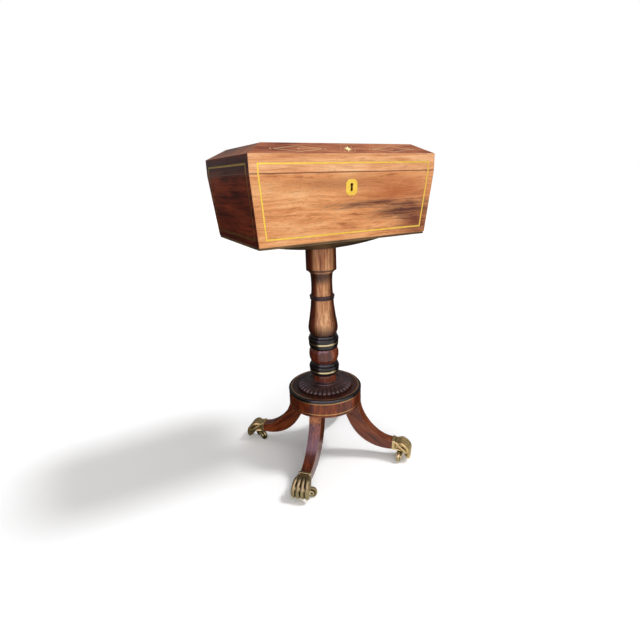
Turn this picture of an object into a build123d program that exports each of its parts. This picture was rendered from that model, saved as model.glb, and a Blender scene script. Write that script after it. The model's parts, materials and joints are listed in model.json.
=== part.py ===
from build123d import *
import os
from math import cos, hypot, radians, sin

# Teapoy: a tapered tea chest on a turned column, with a round platform and four sabre legs.
# Millimetres, +Z up, floor at z = 0, column axis on Z, front towards -Y.

# ---- box
lid_width = 423.0
lid_depth = 281.6
base_width = 398.6
base_depth = 261.0
wall_height = 131.8
wall = 9.5
board_thickness = 4.5
board_corner_radius = 5.0
joint_gap = 0.4

# ---- lid
lid_side_height = 33.7
lid_slope_rise = 20.3
flat_top_width = 344.4
flat_top_depth = 213.8
lid_wall = 9.0
canted_thickness = 8.0

# ---- brass lines
string_width = 3.0
string_depth = 1.2
string_inset = 15.4
body_line_rise = 12.4
lid_line_rise = 18.0

# ---- lid inlay
inlay_depth = 0.8
inlay_rise = 17.0
star_reach = 12.0
star_side_reach = 8.5
star_waist = 2.2
lozenge_centre = 107.0
lozenge_half_length = 52.0
lozenge_half_height = 11.5
inlay_line = 1.2
inlay_dot_radius = 1.8
dot_sides = 8
star_dot_reach = 16.0

# ---- escutcheon and lock
escutcheon_width = 26.0
escutcheon_height = 31.0
escutcheon_cant = 6.0
escutcheon_thickness = 1.3
escutcheon_sunk = 0.9
escutcheon_rise = 103.1
keyhole_top_radius = 3.3
keyhole_foot_radius = 2.9
keyhole_reach = 4.8
keyhole_waist = 4.6
lock_width = 42.0
lock_height = 40.0
lock_cover = 3.0
selvedge_width = 56.0
selvedge_thickness = 2.0
staple_spacing = 24.0
staple_width = 5.0
staple_thickness = 1.8
staple_length = 6.0
staple_clearance = 0.8
striker_thickness = 1.5

# ---- hinges
hinge_spacing = 240.0
hinge_length = 44.0
hinge_leaf_width = 8.0
hinge_leaf_thickness = 1.2
hinge_knuckle_radius = 2.8
hinge_middle_length = 15.4
hinge_pin_radius = 1.6
hinge_gap = 0.3
pin_clearance = 0.05

# ---- dished underside
dish_width = 378.0
dish_depth = 248.0
dish_edge = 2.0
dish_fall = 27.5
dish_seat_drop = 25.2

# ---- column, heights of its turned members from the top down
capital_height = 56.5
capital_radius = 36.4
capital_foot_radius = 35.8
capital_round = 3.0
fillet_height = 3.0
fillet_radius = 31.5
cove_height = 54.0
cove_foot_radius = 27.2
cove_waist_radius = 25.3
bead_height = 9.5
bead_radius = 30.3
bead_fillet_height = 2.5
bead_fillet_radius = 28.8
vase_height = 90.0
vase_neck_radius = 28.0
vase_radius = 36.7
vase_swell_height = 18.0
vase_foot_radius = 31.0
bulb_height = 37.0
bulb_radius = 37.4
bulb_foot_radius = 31.0
bulb_top_radius = 33.2
foot_radius = 30.4
foot_height = 34.6
tenon_radius = 14.0
top_tenon_radius = 15.0

# ---- ebonised rings and their brass hoops
ring_radius = 37.3
upper_ring_lip_height = 12.0
lower_ring_lip_height = 9.0
upper_ring_lip_radius = 33.5
lower_ring_lip_radius = 31.5
hoop_width = 4.0
hoop_thickness = 1.2
hoop_margin = 1.5
big_torus_height = 8.5
big_torus_swell = 0.9
ring_groove_width = 1.5
ring_groove_radius = 34.4
small_torus_height = 7.0
small_torus_radius = 33.4
small_torus_swell = 1.8
ring_top_step = 1.0

# ---- platform drum
drum_radius = 93.7
drum_height = 45.6
drum_bottom = 143.8
edge_moulding_height = 8.6
edge_moulding_width = 5.0
drum_string_width = 1.8
drum_line_rise = 6.5
drum_top_line_radius = 86.0
drum_top_line_width = 1.4

# ---- gadrooned collar
collar_radius = 71.4
collar_edge_height = 8.5
collar_crown_height = 14.6
collar_crown_radius = 41.0
collar_bead_height = 2.4
collar_bead_width = 4.0
collar_cove_rise = 3.0
gadroon_count = 36
gadroon_start = 3.0
gadroon_foot = 2.0
gadroon_opening = 1.6
collar_foot_inset = 1.5
collar_shoulder_run = 3.5
collar_shoulder_width = 13.0
collar_shoulder_fall = 2.2

# ---- sabre legs
leg_angles = {"back_right": 45.0, "back_left": 135.0, "front_left": 225.0, "front_right": 315.0}
leg_outer_start = 92.5
leg_inner_start = 52.0
leg_reach = 180.0
leg_end_top = 49.7
leg_end_bottom = 27.0
leg_top_width = 30.0
leg_end_width = 25.0
leg_outer_high_pull_radius = 94.3
leg_outer_high_pull_height = 108.0
leg_outer_low_pull_radius = 134.0
leg_outer_low_pull_height = 51.8
leg_inner_high_pull_radius = 67.0
leg_inner_high_pull_height = 66.0
leg_inner_low_pull_radius = 113.5
leg_inner_low_pull_height = 23.5
leg_tenon_width = 16.0
leg_tenon_length = 26.0
leg_tenon_height = 20.0
spigot_length = 14.0
spigot_inset = 2.2

# ---- lion-paw caps, with their lengths taken from the end of the leg
collar_band_length = 7.0
collar_band_proud = 2.0
collar_band_cant = 1.4
paw_length = 48.5
paw_reach = leg_reach + paw_length
paw_width = 38.0
paw_sole_height = 26.0
paw_cant = 4.0
paw_waist_fall = 2.0
paw_front_fall = 5.0
toe_count = 4
toe_width = 9.8
toe_pitch = 9.4
toe_splay = 3.5
toe_bottom = 8.5
toe_heel_length = 34.0
toe_root_length = 26.0
toe_heel = leg_reach + toe_heel_length
toe_root = leg_reach + toe_root_length
knuckle_height = 48.0
nail_height = 28.0
toe_cant = 2.2
toe_arch_setback = 8.0
nail_setback = 1.0
claw_setback = 4.0

# ---- castors
castor_pivot_length = 21.0
castor_pivot = leg_reach + castor_pivot_length
castor_trail = 20.5
castor_headings = {"back_right": 210.0, "back_left": 286.8, "front_left": 324.9, "front_right": 220.2}
wheel_radius = 12.5
wheel_width = 8.0
wheel_cant = 1.2
side_gap = 0.3
cheek_thickness = 2.2
axle_radius = 2.0
axle_boss_radius = 5.6
rivet_radius = 3.2
rivet_height = 0.8
neck_radius = 6.5
neck_bottom = 7.0
neck_shoulder = 2.0
horn_arch_fall = 5.2
pivot_pin_radius = 2.5
pivot_head_radius = 4.2
pivot_head_height = 2.2
pivot_pin_grip = 8.0
running_clearance = 0.06
top_gap = 0.3

# ---- interior
deck_drop = 10.8
deck_thickness = 6.0
well_clearance = 0.5
caddy_margin = 5.8
caddy_width = 100.0
caddy_depth = 190.0
caddy_wall = 5.0
caddy_stand = 2.0
caddy_lid_thickness = 5.0
caddy_plug_depth = 3.0
caddy_plug_clearance = 0.4
knob_stem_radius = 3.0
knob_stem_height = 4.0
knob_radius = 6.0
bowl_centre = 60.0
bowl_radius = 46.0
bowl_rim_radius = 51.0
bowl_rim_height = 3.0
bowl_depth = 70.0
bowl_side_height = 20.0
bowl_wall = 3.0
bowl_foot_radius = 24.0

# ---- heights that follow
drum_top = drum_bottom + drum_height
foot_top = drum_top + foot_height
ring_trim = 2 * hoop_margin + hoop_width + big_torus_height + ring_groove_width
ring_trim = ring_trim + small_torus_height + ring_top_step
lower_ring_top = foot_top + lower_ring_lip_height + ring_trim
bulb_top = lower_ring_top + bulb_height
upper_ring_top = bulb_top + upper_ring_lip_height + ring_trim
vase_top = upper_ring_top + vase_height
bead_bottom = vase_top + bead_fillet_height
bead_top = bead_bottom + bead_height
cove_top = bead_top + cove_height
capital_bottom = cove_top + fillet_height
column_top = capital_bottom + capital_height
board_bottom = column_top + dish_edge + dish_seat_drop
wall_bottom = board_bottom + board_thickness
joint_height = wall_bottom + wall_height
wall_top = joint_height - joint_gap / 2
lid_bottom = joint_height + joint_gap / 2
arris_height = joint_height + lid_side_height
top_height = arris_height + lid_slope_rise
deck_top = wall_top - deck_drop
hinge_axis_y = lid_depth / 2 + hinge_knuckle_radius + hinge_gap


# ---- helpers

def at(radius, height):
    """A point of a turned outline."""
    return (radius, 0, height)


def swell(start, end, bulge):
    """Arc between two outline points, its middle pushed out by bulge."""
    middle = at((start[0] + end[0]) / 2 + bulge, (start[2] + end[2]) / 2)
    return ThreePointArc(start, middle, end)


def turned(edges, bore=0.0):
    """Solid of revolution from outline edges that run from bottom to top."""
    low = edges[0] @ 0
    high = edges[-1] @ 1
    corners = [at(bore, high.Z), at(bore, low.Z)]
    if high.X > bore + 0.01:
        corners.insert(0, high)
    if low.X > bore + 0.01:
        corners.append(low)
    return revolve(make_face([*edges, Polyline(*corners)]), axis=Axis.Z)


def prismatoid(low, high):
    """Flat-faced solid between two level outlines with equally many corners."""
    count = len(low)
    loops = [low, high]
    for i in range(count):
        j = (i + 1) % count
        loops.append([low[i], low[j], high[j], high[i]])
    faces = [make_face(Polyline(*loop, close=True)).face() for loop in loops]
    return Solid(Shell(faces))


def wedge(point, back, low, left, right):
    """V-shaped cutter that opens from the upright edge point-back to the triangle low-left-right."""
    loops = [
        [low, left, right],
        [point, low, right],
        [point, low, left],
        [point, back, left],
        [point, back, right],
        [back, left, right],
    ]
    faces = [make_face(Polyline(*loop, close=True)).face() for loop in loops]
    return Solid(Shell(faces))


def level_rectangle(half_width, half_depth, height):
    corners = ((-1, -1), (1, -1), (1, 1), (-1, 1))
    return [(sx * half_width, sy * half_depth, height) for sx, sy in corners]


def hopper(low, high):
    """Four-sided tapered block; low and high are (half width, half depth, height)."""
    return prismatoid(level_rectangle(*low), level_rectangle(*high))


def mitred_board(side, low, high, thickness):
    """One side of a four-sided case, mitred at both ends."""
    turns = {"front": (0, 1), "right": (1, 2), "back": (2, 3), "left": (3, 0)}
    first, second = turns[side]

    def outline(half_width, half_depth, height):
        outer = level_rectangle(half_width, half_depth, height)
        inner = level_rectangle(half_width - thickness, half_depth - thickness, height)
        return [outer[first], outer[second], inner[second], inner[first]]

    return prismatoid(outline(*low), outline(*high))


def face_plane(side, half_width, half_depth, height, lean_x, lean_y, rise):
    """Plane on the outside of a leaning side: x along the side, y up the slope, z outwards."""
    planes = {
        "front": ((0, -half_depth, height), (1, 0, 0), (0, -rise, -lean_y)),
        "back": ((0, half_depth, height), (-1, 0, 0), (0, rise, -lean_y)),
        "left": ((-half_width, 0, height), (0, -1, 0), (-rise, 0, -lean_x)),
        "right": ((half_width, 0, height), (0, 1, 0), (rise, 0, -lean_x)),
    }
    origin, x_dir, z_dir = planes[side]
    return Plane(origin=origin, x_dir=x_dir, z_dir=z_dir)


def sunk(plane, sketch, depth, proud=0.0):
    """Sketch on a plane, extruded from proud of it to depth below it."""
    lifted = plane.offset(proud)
    return extrude(lifted * sketch, amount=-(depth + proud))


def around(shape, angle):
    return Rot(0, 0, angle) * shape


# ---- box body

def body_half(height):
    """Outside half width and half depth of the box at a height."""
    share = (height - wall_bottom) / wall_height
    half_width = (base_width + (lid_width - base_width) * share) / 2
    half_depth = (base_depth + (lid_depth - base_depth) * share) / 2
    return half_width, half_depth


body_lean_x = (lid_width - base_width) / 2
body_lean_y = (lid_depth - base_depth) / 2


def body_plane(side):
    return face_plane(
        side, base_width / 2, base_depth / 2, wall_bottom, body_lean_x, body_lean_y, wall_height
    )


def u_line(low_half, lean, slant, foot):
    """Brass line up both edges of a panel and across its foot, in the panel's plane."""
    edge_slope = lean / slant
    over = slant + string_width

    def outline(inset, bottom):
        low = low_half + edge_slope * bottom - inset
        high = low_half + edge_slope * over - inset
        points = [(-low, bottom), (low, bottom), (high, over), (-high, over)]
        return make_face(Polyline(*points, close=True))

    inner = outline(string_inset + string_width, foot + string_width)
    return outline(string_inset, foot) - inner


def cap_line(half, rise):
    """Brass line up both edges of an upright panel and across at a rise, open at the joint."""
    wide = 2 * (half - string_inset)
    outer = Pos(0, (rise - string_width) / 2) * Rectangle(wide, rise + string_width)
    inner_wide = wide - 2 * string_width
    inner = Pos(0, rise / 2 - string_width) * Rectangle(inner_wide, rise)
    return outer - inner


def escutcheon_outline():
    plate = Rectangle(escutcheon_width, escutcheon_height)
    plate = chamfer(plate.vertices(), escutcheon_cant)
    return Pos(0, escutcheon_rise) * plate


def keyhole_outline():
    upper = Pos(0, keyhole_reach) * Circle(keyhole_top_radius)
    lower = Pos(0, -keyhole_reach) * Circle(keyhole_foot_radius)
    waist = Rectangle(keyhole_waist, 2 * keyhole_reach)
    return Pos(0, escutcheon_rise) * (upper + lower + waist)


def lock_space():
    """Room for the box lock and its selvedge, let into the inside of the front wall."""
    plane = body_plane("front")
    slant = hypot(wall_height, body_lean_y)
    over = wall
    case = Rectangle(lock_width, lock_height + over)
    case = Pos(0, slant - lock_height / 2 + over / 2) * case
    selvedge = Rectangle(selvedge_width, selvedge_thickness + over)
    selvedge = Pos(0, slant - selvedge_thickness / 2 + over / 2) * selvedge
    outline = case + selvedge
    return extrude(plane.offset(-lock_cover) * outline, amount=-wall)


def staple_blocks(clearance, depth, top):
    """Two upright blocks under the lid's front rail, or the slots that take them."""
    blocks = []
    for side in (-1, 1):
        block = Box(
            staple_width + 2 * clearance,
            staple_thickness + 2 * clearance,
            depth,
            align=(Align.CENTER, Align.CENTER, Align.MAX),
        )
        blocks.append(Pos(side * staple_spacing / 2, staple_y, top) * block)
    return blocks


staple_y = -lid_depth / 2 + lock_cover + (wall - lock_cover) / 2


def hinge_centres():
    return [-hinge_spacing / 2, hinge_spacing / 2]


def hinge_leaf_room(x, bottom, thickness):
    """Level recess for a hinge leaf, from the back face inwards."""
    leaf = Box(
        hinge_length, hinge_leaf_width, thickness, align=(Align.CENTER, Align.MAX, Align.MIN)
    )
    return Pos(x, lid_depth / 2, bottom) * leaf


def make_body():
    low = (base_width / 2, base_depth / 2, wall_bottom)
    high = (*body_half(wall_top), wall_top)
    slant_y = hypot(wall_height, body_lean_y)
    slant_x = hypot(wall_height, body_lean_x)
    walls = {side: mitred_board(side, low, high, wall) for side in ("front", "back", "left", "right")}
    strings = []
    panels = {
        "front": (base_width / 2, body_lean_x, slant_y),
        "left": (base_depth / 2, body_lean_y, slant_x),
        "right": (base_depth / 2, body_lean_y, slant_x),
    }
    for side, (half, lean, slant) in panels.items():
        groove = sunk(body_plane(side), u_line(half, lean, slant, body_line_rise), string_depth, 1)
        strings.append((walls[side] & groove).solid())
        walls[side] = walls[side] - groove

    plane = body_plane("front")
    plate_room = sunk(plane, escutcheon_outline(), escutcheon_sunk, 2)
    keyhole = sunk(plane, keyhole_outline(), 2 * wall, 2)
    pocket = lock_space()
    lock = walls["front"] & pocket
    lock = lock - keyhole
    for slot in staple_blocks(staple_clearance, staple_length + 2, lid_bottom):
        lock = lock - slot
    walls["front"] = walls["front"] - pocket - plate_room - keyhole

    proud = escutcheon_thickness - escutcheon_sunk
    escutcheon = sunk(plane, escutcheon_outline() - keyhole_outline(), escutcheon_sunk, proud)
    for x in hinge_centres():
        room = hinge_leaf_room(x, wall_top - hinge_leaf_thickness, 2 * hinge_leaf_thickness)
        walls["back"] = walls["back"] - room

    board = Box(
        base_width, base_depth, board_thickness, align=(Align.CENTER, Align.CENTER, Align.MIN)
    )
    board = fillet(board.edges().filter_by(Axis.Z), board_corner_radius)
    board = Pos(0, 0, board_bottom) * board
    tenon_hole = Pos(0, 0, board_bottom) * Cylinder(top_tenon_radius, 4 * board_thickness)
    board = board - tenon_hole

    nodes = {f"body_{side}": solid for side, solid in walls.items()}
    nodes["body_strings"] = strings
    nodes["lock"] = lock
    nodes["escutcheon"] = escutcheon
    nodes["bottom_board"] = board
    return nodes


def make_dish():
    """Oval bearer, a shallow paraboloid below a thin edge, with a flat seat for the column."""
    low = board_bottom - dish_edge - dish_fall
    rim = board_bottom - dish_edge
    curve = Bezier(at(0, low), at(dish_width / 4, low), at(dish_width / 2, rim))
    edge = Line(at(dish_width / 2, rim), at(dish_width / 2, board_bottom))
    closing = Polyline(at(dish_width / 2, board_bottom), at(0, board_bottom), at(0, low))
    round_dish = revolve(make_face([curve, edge, closing]), axis=Axis.Z)
    dish = scale(round_dish, by=(1, dish_depth / dish_width, 1))
    spare = Box(
        dish_width, dish_depth, dish_fall, align=(Align.CENTER, Align.CENTER, Align.MAX)
    )
    dish = dish - Pos(0, 0, column_top) * spare
    return dish - Pos(0, 0, board_bottom) * Cylinder(top_tenon_radius, 4 * dish_fall)


# ---- lid

def lid_plane(side):
    return face_plane(side, lid_width / 2, lid_depth / 2, lid_bottom, 0, 0, lid_side_height)


def star_outline():
    """Four long and four short points round a small waist."""
    points = []
    reaches = (star_side_reach, star_waist + 2.2, star_reach, star_waist + 2.2)
    for step in range(16):
        angle = radians(22.5 * step)
        reach = star_waist if step % 2 else reaches[(step // 2) % 4]
        points.append((reach * cos(angle), reach * sin(angle)))
    return make_face(Polyline(*points, close=True))


def rhombus(half_length, half_height):
    points = [(half_length, 0), (0, half_height), (-half_length, 0), (0, -half_height)]
    return make_face(Polyline(*points, close=True))


def lozenge_outline():
    """Thin lozenge line with a dot in its middle and one past each end."""
    shrink = inlay_line * hypot(lozenge_half_length, lozenge_half_height)
    inner_length = lozenge_half_length - shrink / lozenge_half_height
    inner_height = lozenge_half_height - shrink / lozenge_half_length
    frame = rhombus(lozenge_half_length, lozenge_half_height) - rhombus(inner_length, inner_height)
    end = lozenge_half_length + 2.2 * inlay_dot_radius
    dots = [Pos(x, 0) * RegularPolygon(inlay_dot_radius, dot_sides) for x in (-end, 0, end)]
    return [frame, *dots]


def inlay_outlines():
    pieces = [star_outline()]
    for sx, sy in ((1, 0), (-1, 0), (0.75, 0.7), (-0.75, 0.7), (0.75, -0.7), (-0.75, -0.7)):
        dot = RegularPolygon(inlay_dot_radius * 0.7, dot_sides)
        pieces.append(Pos(sx * star_dot_reach, sy * star_reach) * dot)
    for side in (-1, 1):
        pieces.extend(Pos(side * lozenge_centre, 0) * piece for piece in lozenge_outline())
    return [Pos(0, inlay_rise) * piece for piece in pieces]


def make_lid():
    half = (lid_width / 2, lid_depth / 2)
    low = (*half, lid_bottom)
    high = (*half, arris_height)
    rails = {
        side: mitred_board(side, low, high, lid_wall) for side in ("front", "back", "left", "right")
    }
    strings = []
    for side, length in (("front", lid_width), ("left", lid_depth), ("right", lid_depth)):
        groove = sunk(lid_plane(side), cap_line(length / 2, lid_line_rise), string_depth, 1)
        strings.append((rails[side] & groove).solid())
        rails[side] = rails[side] - groove

    striker = Box(
        selvedge_width,
        wall - lock_cover - hinge_gap,
        striker_thickness,
        align=(Align.CENTER, Align.CENTER, Align.MIN),
    )
    striker = Pos(0, staple_y, lid_bottom) * striker
    striker = striker & rails["front"]
    rails["front"] = rails["front"] - striker
    for staple in staple_blocks(0, staple_length, lid_bottom):
        striker = striker + staple

    for x in hinge_centres():
        rails["back"] = rails["back"] - hinge_leaf_room(x, lid_bottom, hinge_leaf_thickness)

    top_half = (flat_top_width / 2, flat_top_depth / 2)
    shell = hopper((*half, arris_height), (*top_half, top_height))
    inner_height = top_height - canted_thickness
    inner_low = []
    inner_high = []
    for outer, flat in zip(half, top_half):
        run = outer - flat
        slope = hypot(run, lid_slope_rise)
        inset = canted_thickness * slope / lid_slope_rise
        inner_low.append(outer - inset)
        inner_high.append(outer - inset - run * (inner_height - arris_height) / lid_slope_rise)
    shell = shell - hopper((*inner_low, arris_height), (*inner_high, inner_height))

    run_y = half[1] - top_half[1]
    slope_plane = face_plane("front", half[0], half[1], arris_height, 0, -run_y, lid_slope_rise)
    inlays = []
    for outline in inlay_outlines():
        piece = sunk(slope_plane, outline, inlay_depth)
        shell = shell - piece
        inlays.append(piece)

    nodes = {f"lid_{side}": solid for side, solid in rails.items()}
    nodes["lid_top"] = shell
    nodes["lid_strings"] = strings
    nodes["lid_inlay"] = inlays
    nodes["striker_plate"] = striker
    return nodes


def knuckle(x, length, radius=hinge_knuckle_radius):
    barrel = Rot(0, 90, 0) * Cylinder(radius, length)
    return Pos(x, hinge_axis_y, joint_height) * barrel


def make_hinges():
    end_length = (hinge_length - hinge_middle_length) / 2 - hinge_gap
    end_offset = (hinge_length - end_length) / 2
    reach = hinge_axis_y - lid_depth / 2
    body_leaves = []
    lid_leaves = []
    pins = []
    for x in hinge_centres():
        bore = knuckle(x, 2 * hinge_length, hinge_pin_radius + pin_clearance)
        body_bottom = wall_top - hinge_leaf_thickness
        body_leaf = hinge_leaf_room(x, body_bottom, hinge_leaf_thickness)
        for side in (-1, 1):
            tongue = Box(
                end_length, reach, hinge_leaf_thickness, align=(Align.CENTER, Align.MIN, Align.MIN)
            )
            place = x + side * end_offset
            body_leaf = body_leaf + Pos(place, lid_depth / 2, body_bottom) * tongue
            body_leaf = body_leaf + knuckle(place, end_length)
        body_leaves.append(body_leaf - knuckle(x, 2 * hinge_length, hinge_pin_radius))
        lid_leaf = hinge_leaf_room(x, lid_bottom, hinge_leaf_thickness)
        tongue = Box(
            hinge_middle_length,
            reach,
            hinge_leaf_thickness,
            align=(Align.CENTER, Align.MIN, Align.MIN),
        )
        lid_leaf = lid_leaf + Pos(x, lid_depth / 2, lid_bottom) * tongue
        lid_leaf = lid_leaf + knuckle(x, hinge_middle_length)
        lid_leaves.append(lid_leaf - bore)
        pins.append(knuckle(x, hinge_length + 2, hinge_pin_radius))
    return {
        "hinge_leaves_body": body_leaves,
        "hinge_leaves_lid": lid_leaves,
        "hinge_pins": pins,
    }


# ---- interior

def make_interior():
    deck_bottom = deck_top - deck_thickness
    low = body_half(deck_bottom)
    high = body_half(deck_top)
    deck = hopper((low[0] - wall, low[1] - wall, deck_bottom), (high[0] - wall, high[1] - wall, deck_top))
    nodes = {}
    caddy_top = deck_top + caddy_stand
    caddy_height = caddy_top - wall_bottom
    narrowest = min(body_half(wall_bottom)[0], body_half(caddy_top)[0]) - wall
    caddy_centre = narrowest - caddy_margin - caddy_width / 2
    up = (Align.CENTER, Align.CENTER, Align.MIN)
    for name, side in (("left", -1), ("right", 1)):
        x = side * caddy_centre
        case = Box(caddy_width, caddy_depth, caddy_height, align=up)
        room = Box(caddy_width - 2 * caddy_wall, caddy_depth - 2 * caddy_wall, caddy_height, align=up)
        case = Pos(x, 0, wall_bottom) * (case - Pos(0, 0, caddy_wall) * room)
        well = Box(caddy_width + 2 * well_clearance, caddy_depth + 2 * well_clearance, 4 * deck_thickness)
        deck = deck - Pos(x, 0, deck_top) * well
        lid = Box(caddy_width, caddy_depth, caddy_lid_thickness, align=up)
        lid = chamfer(lid.edges().group_by(Axis.Z)[-1], caddy_lid_thickness * 0.4)
        trim = 2 * (caddy_wall + caddy_plug_clearance)
        plug = Box(
            caddy_width - trim,
            caddy_depth - trim,
            caddy_plug_depth,
            align=(Align.CENTER, Align.CENTER, Align.MAX),
        )
        stem_top = caddy_lid_thickness + knob_stem_height
        stem = Cylinder(knob_stem_radius, stem_top, align=up)
        ball = Pos(0, 0, stem_top + knob_radius * 0.8) * Sphere(knob_radius)
        nodes[f"caddy_{name}"] = case
        nodes[f"caddy_lid_{name}"] = Pos(x, 0, caddy_top) * (lid + plug + stem + ball)
    bowls = []
    for side in (-1, 1):
        y = side * bowl_centre
        hole = Cylinder(bowl_radius + well_clearance, 4 * deck_thickness)
        deck = deck - Pos(0, y, deck_top) * hole
        bowls.append(Pos(0, y, 0) * make_bowl())
    nodes["deck"] = deck
    nodes["mixing_bowls"] = bowls
    return nodes


def make_bowl():
    """Glass bowl that hangs in its well by a flat rim."""
    rim_top = deck_top + bowl_rim_height
    low = rim_top - bowl_depth
    inside = bowl_radius - bowl_wall
    floor = low + 2 * bowl_wall
    side_low = deck_top - bowl_side_height
    edges = [
        Line(at(0, low), at(bowl_foot_radius, low)),
        Bezier(at(bowl_foot_radius, low), at(bowl_radius, low + bowl_wall), at(bowl_radius, side_low)),
        Line(at(bowl_radius, side_low), at(bowl_radius, deck_top)),
        Line(at(bowl_radius, deck_top), at(bowl_rim_radius, deck_top)),
        Line(at(bowl_rim_radius, deck_top), at(bowl_rim_radius, rim_top)),
        Line(at(bowl_rim_radius, rim_top), at(inside, rim_top)),
        Line(at(inside, rim_top), at(inside, side_low)),
        Bezier(at(inside, side_low), at(inside, floor), at(bowl_foot_radius - bowl_wall, floor)),
        Line(at(bowl_foot_radius - bowl_wall, floor), at(0, floor)),
        Line(at(0, floor), at(0, low)),
    ]
    return revolve(make_face(edges), axis=Axis.Z)


# ---- column

def make_shaft():
    """Vase, bead, cove and capital in one turning, with a long tenon down through the rings."""
    swell_top = upper_ring_top + vase_swell_height
    belly = at(vase_radius, swell_top)
    neck = at(vase_neck_radius, vase_top)
    edges = [
        Line(at(tenon_radius, drum_bottom), at(tenon_radius, upper_ring_top)),
        Line(at(tenon_radius, upper_ring_top), at(vase_foot_radius, upper_ring_top)),
        Bezier(
            at(vase_foot_radius, upper_ring_top),
            at(vase_radius, upper_ring_top + vase_swell_height / 3),
            belly,
        ),
        Bezier(
            belly,
            at(vase_radius, swell_top + vase_height / 7),
            at(vase_neck_radius + 0.6, vase_top - vase_height / 6),
            neck,
        ),
        Line(neck, at(bead_fillet_radius, vase_top)),
        Line(at(bead_fillet_radius, vase_top), at(bead_fillet_radius, bead_bottom)),
        swell(
            at(bead_fillet_radius, bead_bottom),
            at(cove_foot_radius, bead_top),
            bead_radius - (bead_fillet_radius + cove_foot_radius) / 2,
        ),
        Bezier(
            at(cove_foot_radius, bead_top),
            at(cove_waist_radius, bead_top + cove_height / 3),
            at(cove_waist_radius - 0.2, cove_top - cove_height / 7),
            at(fillet_radius, cove_top),
        ),
        Line(at(fillet_radius, cove_top), at(fillet_radius, capital_bottom)),
        swell(
            at(fillet_radius, capital_bottom),
            at(capital_foot_radius, capital_bottom + capital_round),
            0.9,
        ),
        Line(
            at(capital_foot_radius, capital_bottom + capital_round),
            at(capital_radius, column_top),
        ),
        Line(at(capital_radius, column_top), at(top_tenon_radius, column_top)),
        Line(at(top_tenon_radius, column_top), at(top_tenon_radius, wall_bottom)),
    ]
    return turned(edges)


def ring_levels(bottom, lip_height):
    hoop_low = bottom + lip_height + hoop_margin
    hoop_high = hoop_low + hoop_width
    torus_low = hoop_high + hoop_margin
    groove_low = torus_low + big_torus_height
    small_low = groove_low + ring_groove_width
    return hoop_low, hoop_high, torus_low, groove_low, small_low


def make_ring(bottom, lip_height, lip_radius, neck_radius_above):
    """Ebonised ring: ovolo lip, brass hoop, large torus, groove and small torus."""
    hoop_low, hoop_high, torus_low, groove_low, small_low = ring_levels(bottom, lip_height)
    lip_top = bottom + lip_height
    small_top = small_low + small_torus_height
    top = small_top + ring_top_step
    seat = ring_radius - hoop_thickness
    edges = [
        swell(at(lip_radius, bottom), at(ring_radius, lip_top), 1.0),
        Line(at(ring_radius, lip_top), at(ring_radius, hoop_low)),
        Line(at(ring_radius, hoop_low), at(seat, hoop_low)),
        Line(at(seat, hoop_low), at(seat, hoop_high)),
        Line(at(seat, hoop_high), at(ring_radius, hoop_high)),
        Line(at(ring_radius, hoop_high), at(ring_radius, torus_low)),
        swell(at(ring_radius, torus_low), at(ring_radius, groove_low), big_torus_swell),
        Line(at(ring_radius, groove_low), at(ring_groove_radius, groove_low)),
        Line(at(ring_groove_radius, groove_low), at(ring_groove_radius, small_low)),
        swell(
            at(ring_groove_radius, small_low),
            at(neck_radius_above + 1.2, small_top),
            small_torus_swell,
        ),
        Line(at(neck_radius_above + 1.2, small_top), at(neck_radius_above, top)),
    ]
    ring = turned(edges, bore=tenon_radius)
    hoop = turned([Line(at(ring_radius, hoop_low), at(ring_radius, hoop_high))], bore=seat)
    return ring, hoop


def make_bulb():
    low = lower_ring_top
    crown = low + bulb_height * 0.55
    edges = [
        Bezier(at(bulb_foot_radius, low), at(bulb_radius, low + bulb_height * 0.2), at(bulb_radius, crown)),
        Bezier(at(bulb_radius, crown), at(bulb_radius, bulb_top - 4), at(bulb_top_radius, bulb_top)),
    ]
    return turned(edges, bore=tenon_radius)


def make_column():
    upper, upper_hoop = make_ring(
        bulb_top, upper_ring_lip_height, upper_ring_lip_radius, vase_foot_radius
    )
    lower, lower_hoop = make_ring(
        foot_top, lower_ring_lip_height, lower_ring_lip_radius, bulb_foot_radius
    )
    foot = turned([Line(at(foot_radius, drum_top), at(foot_radius, foot_top))], bore=tenon_radius)
    return {
        "column_shaft": make_shaft(),
        "ebonised_ring_upper": upper,
        "column_bulb": make_bulb(),
        "ebonised_ring_lower": lower,
        "column_foot": foot,
        "column_hoops": [upper_hoop, lower_hoop],
    }


# ---- platform

def make_collar():
    """Low cushion round the column, cut into lobes, with a bead and a cove at its inner edge."""
    edge_top = drum_top + collar_edge_height
    crown = drum_top + collar_crown_height
    bead_high = crown + collar_bead_height
    bead_inner = collar_crown_radius - collar_bead_width
    rim = drum_top + collar_edge_height / 2
    foot = at(collar_radius - collar_foot_inset, drum_top)
    edge = at(collar_radius - collar_shoulder_run, edge_top)
    shoulder = at(collar_radius - collar_shoulder_width, crown - collar_shoulder_fall)
    edges = [
        Polyline(foot, at(collar_radius, rim), edge, shoulder, at(collar_crown_radius, crown)),
        ThreePointArc(
            at(collar_crown_radius, crown),
            at(collar_crown_radius - collar_bead_width / 2, bead_high),
            at(bead_inner, crown),
        ),
        Line(at(bead_inner, crown), at(foot_radius, crown + collar_cove_rise)),
    ]
    collar = turned(edges, bore=foot_radius)
    inner = collar_crown_radius + gadroon_start
    outer = collar_radius + 1.0
    step = 360.0 / gadroon_count
    half_pitch = outer * sin(radians(step / 2))
    point = (inner, 0, crown)
    low = (outer, 0, drum_top + gadroon_foot)
    over = crown + collar_crown_height
    left = (outer, gadroon_opening * half_pitch, over)
    right = (outer, -gadroon_opening * half_pitch, over)
    back = (inner, 0, over)
    groove = wedge(point, back, low, left, right)
    return collar - [around(groove, step * i) for i in range(gadroon_count)]


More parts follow.
